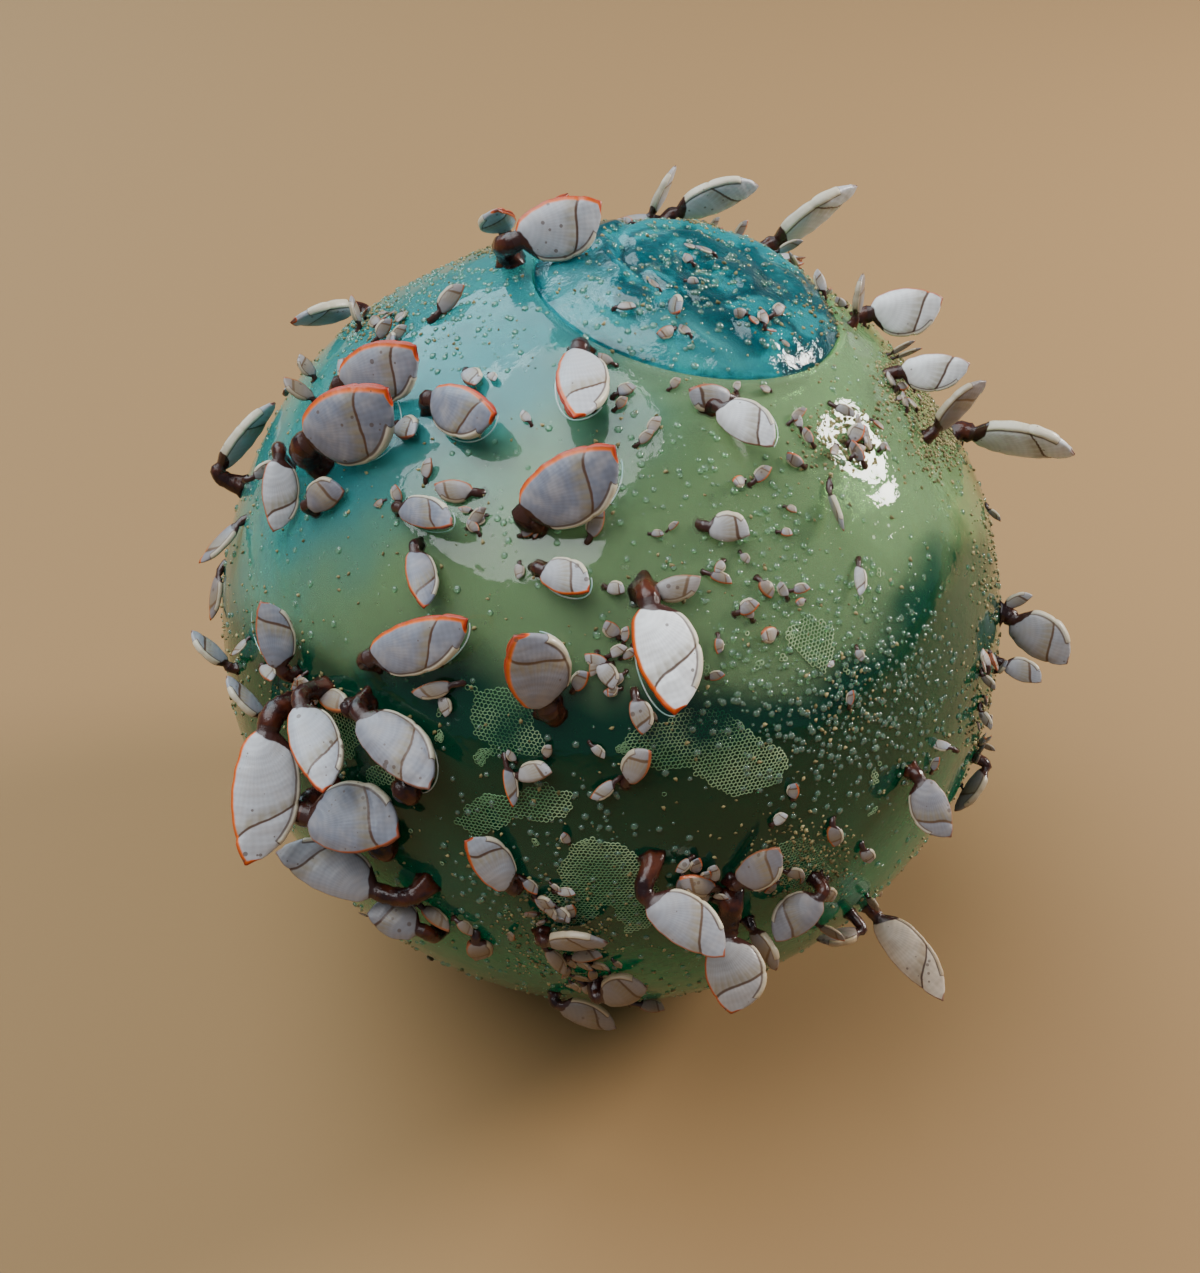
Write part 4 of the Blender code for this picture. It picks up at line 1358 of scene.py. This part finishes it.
YOUNG = (
    Young((354, 318), (347, 291), 0.5, 0.5, SQUARE, 60),
    Young((372, 330), (386, 312), 0.6, 0.4),
    Young((388, 332), (401, 318), 0.6, 0.6),
    Young((378, 322), (368, 310), 0.7, 0.5),
    Young((436, 306), (461, 279), 0.5, 0.5),
    Young((308, 395), (281, 375), 0.55, 0.8, SQUARE, 40),
    Young((310, 373), (297, 352), 0.6, 0.6, SQUARE, 30),
    Young((356, 366), (319, 347), 0.6, 0.05),
    Young((381, 334), (404, 343), 0.7, 0.1),
    Young((463, 366), (479, 393), 0.65, 0.05),
    Young((487, 370), (497, 382), 0.6, 0.3),
    Young((392, 420), (421, 440), 0.75, 0.05),
    Young((243, 473), (267, 460), 0.5, 0.1, SQUARE, 20),
    Young((232, 523), (196, 559), 0.4, 0.4, SQUARE, 60),
    Young((213, 575), (205, 620), 0.4, 0.7, SQUARE, 60),
    Young((468, 488), (429, 480), 0.6, 0.5),
    Young((396, 500), (392, 482), 0.6, 0.7),
    Young((475, 530), (466, 516), 0.65, 0.55),
    Young((468, 523), (484, 505), 0.5, 0.6),
    Young((520, 533), (536, 524), 0.7, 0.4),
    Young((590, 534), (604, 508), 0.6, 0.5),
    Young((258, 667), (272, 694), 0.5, 0.5),
    Young((243, 640), (228, 655), 0.45, 0.5, SQUARE, 50),
    Young((318, 697), (356, 723), 0.5, 0.85),
    Young((296, 690), (322, 676), 0.5, 0.9),
    Young((449, 686), (408, 693), 0.42, 0.65),
    Young((474, 945), (475, 975), 0.9, 0.5),
    Young((612, 360), (598, 350), 0.6, 0.9),
    Young((617, 405), (628, 395), 0.7, 0.7),
    Young((650, 430), (662, 414), 0.6, 0.6),
    Young((640, 440), (655, 428), 0.55, 0.5),
    Young((731, 395), (687, 384), 0.65, 0.05),
    Young((672, 385), (682, 376), 0.7, 0.8),
    Young((737, 388), (742, 378), 0.7, 0.6),
    Young((670, 311), (693, 339), 0.55, 0.1, 25, 30),
    Young((672, 334), (650, 340), 0.55, 0.5),
    Young((742, 321), (729, 317), 0.8, 0.6),
    Young((770, 322), (784, 312), 0.7, 0.5),
    Young((685, 290), (697, 292), 0.6, 0.2),
    Young((690, 268), (682, 258), 0.7, 0.5),
    Young((631, 232), (622, 226), 0.7, 0.1),
    Young((652, 206), (613, 210), 0.35, 0.2, SQUARE, 50),
    Young((712, 222), (722, 208), 0.5, 0.6, SQUARE, 40),
    Young((738, 232), (750, 214), 0.5, 0.4, SQUARE, 40),
    Young((702, 214), (708, 205), 0.5, 0.6, SQUARE, 30),
    Young((825, 290), (819, 268), 0.5, 0.3, SQUARE, 20),
    Young((833, 288), (842, 298), 0.6, 0.2),
    Young((848, 302), (838, 292), 0.6, 0.3),
    Young((776, 256), (800, 246), 0.4, 0.6, SQUARE, 40),
    Young((895, 350), (918, 338), 0.3, 0.5, SQUARE, 50),
    Young((900, 354), (925, 345), 0.3, 0.4, SQUARE, 60),
    Young((838, 404), (857, 414), 0.5, 0.3),
    Young((803, 425), (799, 408), 0.55, 0.3),
    Young((815, 440), (808, 424), 0.55, 0.4),
    Young((806, 462), (790, 448), 0.6, 0.25),
    Young((758, 478), (776, 464), 0.6, 0.4),
    Young((868, 458), (858, 436), 0.5, 0.4),
    Young((836, 490), (852, 532), 0.35, 0.35, 16, 70),
    Young((712, 524), (753, 532), 0.75, 0.15),
    Young((726, 560), (716, 572), 0.7, 0.5),
    Young((745, 552), (752, 562), 0.7, 0.6),
    Young((607, 587), (625, 592), 0.8, 0.3),
    Young((618, 636), (606, 620), 0.8, 0.5),
    Young((610, 656), (628, 648), 0.6, 0.45),
    Young((656, 592), (702, 576), 0.55, 0.75, 14, 180),
    Young((636, 700), (642, 736), 0.65, 0.35),
    Young((600, 664), (612, 690), 0.7, 0.3),
    Young((574, 690), (590, 672), 0.7, 0.4),
    Young((628, 783), (655, 749), 0.65, 0.5),
    Young((614, 784), (590, 800), 0.5, 0.5),
    Young((517, 778), (556, 774), 0.55, 0.45),
    Young((505, 769), (511, 810), 0.35, 0.1),
    Young((514, 762), (506, 750), 0.6, 0.3),
    Young((545, 758), (552, 744), 0.7, 0.6),
    Young((568, 845), (562, 830), 0.6, 0.2),
    Young((742, 612), (762, 604), 0.75, 0.4),
    Young((754, 618), (748, 600), 0.6, 0.6),
    Young((790, 596), (784, 580), 0.6, 0.3),
    Young((797, 590), (815, 588), 0.6, 0.25),
    Young((808, 600), (796, 602), 0.7, 0.4),
    Young((865, 565), (866, 597), 0.4, 0.15),
    Young((836, 662), (828, 668), 0.6, 0.05),
    Young((860, 650), (864, 662), 0.7, 0.05),
    Young((852, 706), (856, 690), 0.5, 0.1),
    Young((795, 800), (800, 782), 0.7, 0.1),
    Young((776, 826), (790, 818), 0.7, 0.3),
    Young((835, 828), (836, 852), 0.7, 0.7),
    Young((866, 852), (874, 872), 0.7, 0.05),
    Young((716, 883), (718, 856), 0.5, 0.3),
    Young((715, 892), (664, 876), 0.4, 0.55),
    Young((690, 862), (676, 874), 0.6, 0.5),
    Young((535, 900), (548, 918), 0.5, 0.35),
    Young((522, 884), (536, 898), 0.6, 0.4),
    Young((557, 895), (576, 898), 0.5, 0.35),
    Young((572, 962), (611, 961), 0.35, 0.5),
    Young((546, 955), (568, 985), 0.4, 0.6),
    Young((583, 989), (596, 1003), 0.8, 0.3),
    Young((640, 1010), (668, 1016), 0.5, 0.2),
    Young((536, 946), (550, 934), 0.5, 0.7),
    Young((509, 942), (522, 932), 0.6, 0.8),
    Young((456, 926), (470, 940), 0.6, 0.8),
    Young((420, 912), (446, 936), 0.45, 0.85),
    Young((1019, 606), (1046, 596), 0.5, 0.3, SQUARE, 30),
    Young((996, 668), (990, 650), 0.6, 0.4, SQUARE, 50),
    Young((986, 676), (998, 690), 0.6, 0.5, SQUARE, 50),
    Young((984, 712), (994, 730), 0.6, 0.3, SQUARE, 50),
    Young((984, 745), (998, 752), 0.5, 0.6, SQUARE, 50),
    Young((962, 752), (942, 745), 0.5, 0.05, SQUARE, 20),
    Young((936, 772), (944, 758), 0.5, 0.1),
    Young((966, 790), (976, 806), 0.4, 0.2, SQUARE, 60),
    Young((992, 508), (1004, 520), 0.5, 0.4, SQUARE, 50),
    Young((870, 900), (880, 914), 0.6, 0.7, SQUARE, 50),
    Young((822, 930), (846, 944), 0.4, 0.4, SQUARE, 40),
)


class Patch(NamedTuple):
    """A round or oval area of the glass in the photograph, in pixels."""
    centre: tuple
    radii: tuple
    strength: float = 1


# Where the smallest settlers crowd together, with how many there are
SETTLERS = (
    (Patch((730, 214), (34, 10)), 9),
    (Patch((800, 258), (16, 10)), 4),
    (Patch((905, 385), (22, 26)), 12),
    (Patch((860, 440), (30, 30)), 10),
    (Patch((620, 655), (26, 34)), 8),
    (Patch((300, 690), (30, 16)), 7),
    (Patch((545, 905), (30, 24)), 8),
    (Patch((580, 965), (36, 26)), 14),
    (Patch((700, 885), (30, 18)), 7),
    (Patch((985, 700), (14, 60)), 12),
    (Patch((385, 320), (24, 14)), 6),
    (Patch((440, 500), (60, 26)), 4),
    (Patch((800, 870), (40, 30)), 8),
    (Patch((600, 540), (250, 220)), 26),
    (Patch((720, 300), (110, 60)), 8),
)
SETTLER_LENGTH = (1.4 * MM, 3.2 * MM)
SETTLER_WIDTH_SHARE = (0.45, 0.75)
SETTLER_LIFT = (0.05, 0.6)
SETTLER_TINT = (0.1, 0.9)
SETTLER_RISE_SHARE = 0.18
BACK_SETTLERS = 70
BACK_FACING = 0.2
LOWEST_BACK_SETTLER = -0.85
YOUNG_LENGTH = 5 * MM
YOUNG_WIDTH = 3 * MM
YOUNG_RINGS = 11
YOUNG_SIDES = 14
YOUNG_STALK_RINGS = 4
YOUNG_STALK_MM = ((-1.3, 0, -1.0), (-1.3, 0, -0.6), (-0.6, 0, 0), (0, 0, 0))
SETTLERS_SEED = 11


def seen_length(base, tip, out):
    """The real length of what spans two pixels, square to the line of sight, at a place on the glass."""
    depth = -(out * BALL_RADIUS - viewpoint()).dot(view_axes()[2])
    return math.hypot(tip[0] - base[0], tip[1] - base[1]) / FOCAL_LENGTH_PX * depth


def young_stance(row):
    """Where a young barnacle's shell starts, how it stands and how long it is."""
    out = outward(row.base, BALL_RADIUS)
    length = seen_length(row.base, row.tip, out)
    shown = Seen(row.base, row.tip, length / MM, row.width * length / MM, row.lift, row.turn, 0, 0)
    stance = stance_seen(shown)
    height = 0.5 * base_height(stance, length, row.width * length)
    return stance, stance.out * (glass_radius(stance.out) + height), length


def settler_ways(rng):
    """Ways out from the ball's centre to every small settler."""
    ways = []
    wanted = sum(count for _, count in SETTLERS) + BACK_SETTLERS
    for patch, count in SETTLERS:
        for _ in range(count):
            turn, reach = rng.uniform(0, math.tau), math.sqrt(rng.uniform(0, 1))
            across = patch.centre[0] + patch.radii[0] * reach * math.cos(turn)
            down = patch.centre[1] + patch.radii[1] * reach * math.sin(turn)
            ways.append(outward((across, down), BALL_RADIUS))
    toward_viewer = viewpoint().normalized()
    while len(ways) < wanted:
        way = Vector(rng.normal(size=3)).normalized()
        if way.dot(toward_viewer) < BACK_FACING and way.z > LOWEST_BACK_SETTLER:
            ways.append(way)
    return ways


def young_shell():
    """The one shape that all the young barnacles share."""
    flat = Stance(Vector((0, 0, 1)), Vector((1, 0, 0)), Vector((0, 0, 1)))
    drop = [Vector(point) * MM for point in YOUNG_STALK_MM]
    sizes = (YOUNG_LENGTH, YOUNG_WIDTH, YOUNG_RINGS, YOUNG_SIDES, YOUNG_STALK_RINGS)
    shape = barnacle_mesh("young_shell", drop, flat, *sizes, Look(0, 0, 0), 1)
    for label in Look._fields:
        shape.attributes.remove(shape.attributes[label])
    outward_faces(shape)
    return shape


def build_young(tree, finish):
    """All the young barnacles, as one piece."""
    rng = np.random.default_rng(SETTLERS_SEED)
    places, stances, sizes, tints = [], [], [], []
    for row in YOUNG:
        stance, place, length = young_stance(row)
        places.append(place + BALL_CENTRE)
        stances.append(stance)
        width = row.width * length / YOUNG_WIDTH
        sizes.append((length / YOUNG_LENGTH, width, width))
        tints.append(row.tint)
    for out in settler_ways(rng):
        length = rng.uniform(*SETTLER_LENGTH)
        stances.append(loose_stance(out, rng.uniform(0, math.tau), rng.uniform(*SETTLER_LIFT)))
        places.append(out * (glass_radius(out) + SETTLER_RISE_SHARE * length) + BALL_CENTRE)
        width = rng.uniform(*SETTLER_WIDTH_SHARE) * length / YOUNG_WIDTH
        sizes.append((length / YOUNG_LENGTH, width, width))
        tints.append(rng.uniform(*SETTLER_TINT))
    points = mesh_of("young_places", places, [])
    along = [stance.along for stance in stances]
    flat = [stance.flat for stance in stances]
    for label, values in (("along", along), ("flat", flat), ("size", sizes)):
        made = points.attributes.new(label, "FLOAT_VECTOR", "POINT")
        made.data.foreach_set("vector", np.array(values, np.float32).ravel())
    tints = np.array(tints)
    add_attribute(points, "brown", 0.05 + 0.55 * tints)
    add_attribute(points, "bleach", 0.1 + 0.5 * (tints * 13 % 1))
    add_attribute(points, "orange", 0.15 + 0.6 * (tints * 7 % 1))
    repeat_over(tree, "young_barnacles", young_shell(), points, {"Material": finish})


def nearness(pixel, patches):
    """How thickly a pixel is covered by oval patches, 1 in their middle and 0 outside them all."""
    best = 0
    for patch in patches:
        across = (pixel[0] - patch.centre[0]) / patch.radii[0]
        down = (pixel[1] - patch.centre[1]) / patch.radii[1]
        best = max(best, patch.strength * (1 - min(1, across * across + down * down)))
    return best


BUBBLES = (
    Patch((830, 680), (160, 150), 1.0),
    Patch((760, 560), (120, 110), 0.6),
    Patch((440, 320), (120, 70), 0.6),
    Patch((690, 290), (150, 90), 0.5),
    Patch((650, 470), (130, 80), 0.35),
    Patch((560, 870), (160, 120), 0.35),
)
BUBBLES_ELSEWHERE = 0.06
CRUMBS = (
    Patch((848, 436), (46, 42), 1.0),
    Patch((900, 380), (34, 40), 1.0),
    Patch((725, 218), (60, 14), 0.9),
    Patch((480, 250), (60, 14), 0.5),
    Patch((800, 860), (60, 50), 0.8),
    Patch((560, 930), (70, 60), 0.5),
    Patch((985, 700), (30, 90), 0.22),
    Patch((370, 320), (50, 26), 0.5),
    Patch((255, 640), (40, 60), 0.12),
    Patch((850, 700), (50, 60), 0.25),
    Patch((310, 700), (50, 30), 0.5),
    Patch((820, 310), (50, 40), 0.25),
    Patch((935, 430), (34, 56), 1.0),
    Patch((985, 560), (22, 70), 0.2),
    Patch((825, 450), (50, 36), 0.4),
)
CRUMBS_ELSEWHERE = 0.02
STREWN_ABOVE = 4 * MM
SKIN_RINGS = 130
SKIN_SIDES = 200
SKIN_START = math.radians(1)
SKIN_REACH = math.radians(165)

# How the bubbles and the crumbs are strewn: radius, how many to a square metre, and the range of size
BUBBLE_RADIUS = 0.32 * MM
BUBBLE_SPREAD = {"Per square metre": 0.85e6, "Smallest": 0.4, "Largest": 1.9, "Seed": 5}
CRUMB_RADIUS = 0.21 * MM
CRUMB_SPREAD = {"Per square metre": 2.6e6, "Smallest": 0.45, "Largest": 1.8, "Seed": 9}


def skin_radius(angle, turn, way):
    """The glass's outer skin, over the seal and the ball alike."""
    if angle < SEAL_ANGLE:
        return seal_top_radius(angle, turn, way)
    return outer_radius(angle, turn, way)


def glass_skin(name, patches, elsewhere):
    """A carrier mesh over the whole glass that says how thickly it is strewn."""
    angles = [SKIN_START + SKIN_REACH * i / SKIN_RINGS for i in range(SKIN_RINGS + 1)]
    places = turned_grid(angles, skin_radius, SKIN_SIDES)
    mesh = mesh_of(name, places, loft_faces(SKIN_RINGS + 1, SKIN_SIDES)[:, ::-1])
    eye = viewpoint()
    amounts = []
    for place in places:
        from_centre = place - BALL_CENTRE
        facing = from_centre.normalized().dot((eye - from_centre).normalized())
        seen = nearness(pixel_of(from_centre), patches) if facing > 0 else 0
        amounts.append(max(seen, elsewhere) if place.z > STREWN_ABOVE else 0)
    add_attribute(mesh, "thickly", np.array(amounts))
    return mesh


def small_ball(name, radius, segments, rings, height=1.0, rough=0.0):
    """A low ball of few faces, round or broken."""
    work = bmesh.new()
    bmesh.ops.create_uvsphere(work, u_segments=segments, v_segments=rings, radius=radius)
    for vertex in work.verts:
        vertex.co *= 1 + rough * noise.noise(vertex.co * (2.3 / radius))
        vertex.co.z *= height
    mesh = bpy.data.meshes.new(name)
    work.to_mesh(mesh)
    work.free()
    return mesh


def build_strewn(tree, bead_finish, crumb_finish):
    """Bubbles that stand in the glass's skin, and crumbs of dried growth."""
    bead = small_ball("bubble", BUBBLE_RADIUS, 6, 4, 0.6)
    bead_skin = glass_skin("bubble_places", BUBBLES, BUBBLES_ELSEWHERE)
    bead_values = BUBBLE_SPREAD | {"Material": bead_finish}
    repeat_over(tree, "glass_bubbles", bead, bead_skin, bead_values)
    crumb = small_ball("crumb", CRUMB_RADIUS, 5, 3, 0.9, 1.0)
    crumb_skin = glass_skin("crumb_places", CRUMBS, CRUMBS_ELSEWHERE)
    crumb_values = CRUMB_SPREAD | {"Material": crumb_finish}
    repeat_over(tree, "dried_crumbs", crumb, crumb_skin, crumb_values)


LACE = (
    (Patch((503, 715), (40, 32)), Patch((520, 742), (30, 20))),
    (Patch((738, 762), (52, 38)), Patch((668, 745), (48, 30)), Patch((702, 728), (46, 26))),
    (Patch((485, 815), (32, 22)), Patch((540, 803), (40, 25))),
    (Patch((600, 868), (48, 34)), Patch((636, 900), (28, 38)), Patch((572, 905), (38, 20))),
    (Patch((815, 640), (24, 32)),),
    (Patch((345, 735), (20, 34)), Patch((385, 775), (26, 16))),
    (Patch((800, 862), (36, 30)),),
)
# Patches on the far side: bearing and height in degrees, reach in millimetres
BACK_LACE = ((205, 20, 9), (140, -20, 11), (255, 15, 8), (175, 55, 7))
BACK_LACE_RAGGED = (0.5, 20)
LACE_RAGGED = (0.35, 24)
LACE_EDGE = 0.16
LACE_SEED = 4
LACE_BAR = 0.074 * MM
CELL = 0.56 * MM
CELL_JITTER = 0.16
LACE_REACH = 16 * MM
LACE_RISE = 0.03 * MM


def lattice_patch(centre, inside, rng, points, faces):
    """A lattice of points on the glass about a way out, kept where inside says so."""
    north, east = compass(centre)
    steps = int(LACE_REACH / CELL)
    index = {}
    for row in range(-steps, steps + 1):
        for column in range(-steps, steps + 1):
            shift = rng.normal(0, CELL_JITTER, 2)
            across = (column + 0.5 * (row % 2) + shift[0]) * CELL
            up = (row * math.sqrt(3) / 2 + shift[1]) * CELL
            way = (centre * BALL_RADIUS + east * across + north * up).normalized()
            if inside(way):
                index[row, column] = len(points)
                points.append(way * (glass_radius(way) + LACE_RISE) + BALL_CENTRE)
    for row, column in index:
        lean = row % 2
        corner_sets = (
            ((row, column), (row, column + 1), (row + 1, column + lean)),
            ((row, column), (row + 1, column + lean), (row + 1, column + lean - 1)),
        )
        for corners in corner_sets:
            if all(corner in index for corner in corners):
                faces.append(tuple(index[corner] for corner in corners))


def build_lace(tree, finish):
    """Crusts of lace-like cells on the glass."""
    rng = np.random.default_rng(LACE_SEED)
    points, faces = [], []
    for patches in LACE:
        middle = np.mean([patch.centre for patch in patches], 0)

        def seen_inside(way, patches=patches):
            ragged = LACE_RAGGED[0] * noise.noise(way * LACE_RAGGED[1])
            return nearness(pixel_of(way * BALL_RADIUS), patches) > LACE_EDGE + ragged

        lattice_patch(outward(middle, BALL_RADIUS), seen_inside, rng, points, faces)
    for bearing, height, reach in BACK_LACE:
        centre = way_at(math.radians(bearing), math.radians(height))

        def near_centre(way, centre=centre, reach=reach):
            ragged = BACK_LACE_RAGGED[0] * noise.noise(way * BACK_LACE_RAGGED[1])
            return centre.angle(way) * BALL_RADIUS / MM < reach * (1 + ragged)

        lattice_patch(centre, near_centre, rng, points, faces)
    mesh = mesh_of("lace_lattice", points, faces)
    grown("bryozoan_lace", mesh, tree, {"Bar radius": LACE_BAR, "Material": finish})


# Shells beside which a rim of water or salt clings to the glass: its share of the outline, in turns
RIMMED = {
    ("left_shoulder", 2): (0.55, 1.0),
    ("left_shoulder", 3): (0.55, 1.0),
    ("left_shoulder", 4): (-0.15, 0.45),
    ("face", 1): (-0.1, 0.4),
    ("face", 2): (0.6, 0.95),
    ("face", 4): (-0.1, 0.45),
    ("face", 5): (0.5, 1.0),
    ("face", 6): (0.55, 0.98),
    ("face", 7): (0.6, 0.9),
    ("face", 9): (0.0, 0.4),
    ("left_cluster", 4): (0.4, 1.1),
    ("left_rim", 1): (0.1, 0.5),
}
RIM_MARGIN = 0.1 * MM
RIM_RISE = 0.02 * MM
RIM_BEAD = 0.10 * MM
RIM_POINTS = 40


def build_rims(tree, finish):
    """Thin bright rims on the glass beside the shells that lie on it, their brightness a painted highlight.
    """
    points, edges = [], []
    for (place, number), (start, end) in RIMMED.items():
        row = SEEN[place][number - 1]
        stance = stance_seen(row)
        length, width = row.length * MM, row.width * MM
        base = stance.out * (glass_radius(stance.out) + base_height(stance, length, width))
        across = stance.along.cross(stance.flat)
        first = len(points)
        for i in range(RIM_POINTS):
            turn = math.tau * (start + (end - start) * i / (RIM_POINTS - 1))
            run = (0.5 + 0.5 * math.cos(turn)) * length
            side = math.sin(turn)
            reach = (0.40 if side > 0 else 0.62) * width * side
            spot = base + stance.along * run + across * reach
            middle = base + stance.along * 0.5 * length
            spot += (spot - middle).normalized() * RIM_MARGIN
            way = outward(pixel_of(spot), BALL_RADIUS)
            points.append(way * (glass_radius(way) + RIM_RISE) + BALL_CENTRE)
        edges += [(i, i + 1) for i in range(first, first + RIM_POINTS - 1)]
    mesh = bpy.data.meshes.new("rim_lines")
    mesh.from_pydata([tuple(p) for p in points], edges, [])
    grown("salt_rims", mesh, tree, {"Bead radius": RIM_BEAD, "Material": finish})


# Dark folded flesh that shows at a shell's opening: its pixel and its size
FLESH = (((408, 789), 2.1 * MM), ((384, 845), 2.2 * MM), ((352, 708), 1.5 * MM))
FLESH_RISE = 1.5 * MM
FLESH_FOLD = 0.22


def build_flesh(finish):
    """Lumps of dark flesh, as one piece."""
    work = bmesh.new()
    for pixel, radius in FLESH:
        way = outward(pixel, BALL_RADIUS + FLESH_RISE)
        place = way * (glass_radius(way) + FLESH_RISE) + BALL_CENTRE
        lump = bmesh.ops.create_uvsphere(work, u_segments=28, v_segments=18, radius=radius)
        for vertex in lump["verts"]:
            fold = noise.noise(vertex.co * (1.6 / radius)) + 0.4 * noise.noise(vertex.co * (4 / radius))
            vertex.co = vertex.co * (1 + FLESH_FOLD * fold) + place
    mesh = bpy.data.meshes.new("barnacle_flesh")
    work.to_mesh(mesh)
    work.free()
    carried(add_piece("barnacle_flesh", mesh, finish))


# The stage


FLOOR_HALF = 3.0
FLOOR_DROP = 0.2 * MM
FLOOR_COLOUR = (0.26, 0.145, 0.052, 1)

# Each light's name, place, diameter, watts and colour, in metres
LIGHTS = (
    ("key", (0.78, 0.26, 0.46), 0.28, 11.0, (1.0, 0.96, 0.90)),
    ("sky_left", (-0.65, 0.70, 0.85), 1.0, 10.0, (0.68, 0.90, 1.0)),
    ("overhead", (-0.62, -0.12, 1.75), 2.0, 49.0, (0.93, 0.97, 1.0)),
)
WORLD_COLOUR = (0.76, 0.87, 1.0, 1)
WORLD_STRENGTH = 0.28


def build_floor():
    """A plain floor just under the float."""
    mesh = bpy.data.meshes.new("floor")
    corners = [(x * FLOOR_HALF, y * FLOOR_HALF, -FLOOR_DROP) for x, y in ((-1, -1), (1, -1), (1, 1), (-1, 1))]
    mesh.from_pydata(corners, [], [(0, 1, 2, 3)])
    made, tree, shader, _ = shader_material("floor")
    plug(tree, shader, Base_Color=FLOOR_COLOUR, Roughness=0.8)
    floor = add_piece("floor", mesh, made)


def area_light(name, place, size, watts, color):
    """A round soft light that faces the ball."""
    light = bpy.data.lights.new(name, "AREA")
    light.shape = "DISK"
    light.size = size
    light.energy = watts
    light.color = color
    made = in_scene(name, light)
    made.location = place
    made.rotation_euler = (BALL_CENTRE - Vector(place)).to_track_quat("-Z", "Y").to_euler()


def build_lights():
    for light in LIGHTS:
        area_light(*light)
    world = bpy.data.worlds.new("studio")
    world.use_nodes = True
    background = world.node_tree.nodes["Background"]
    background.inputs["Color"].default_value = WORLD_COLOUR
    background.inputs["Strength"].default_value = WORLD_STRENGTH
    bpy.context.scene.world = world


def build_camera():
    """The photograph's own view. The sensor's width is the frame's longer side."""
    right, up, back = view_axes()
    data = bpy.data.cameras.new("camera")
    data.sensor_width = SENSOR_WIDTH
    data.lens = SENSOR_WIDTH * FOCAL_LENGTH_PX / max(PHOTO_SIZE_PX)
    data.clip_start = 0.01
    camera = in_scene("camera", data)
    turn = Matrix((right, up, back)).transposed()
    camera.matrix_world = Matrix.Translation(BALL_CENTRE + viewpoint()) @ turn.to_4x4()
    bpy.context.scene.camera = camera


def main():
    build_camera()
    build_lights()
    build_floor()
    build_ball(ball_glass_material(), inner_glass_material())
    build_seal(seal_glass_material())
    shell = shell_material()
    stalk = stalk_material()
    build_barnacles((shell, stalk))
    build_young(placed_tree(), shell)
    build_strewn(scatter_tree(), bubble_material(), crumb_material())
    build_lace(net_tree(), lace_material())
    build_rims(rim_tree(), rim_highlight_material())
    build_flesh(stalk)


main()
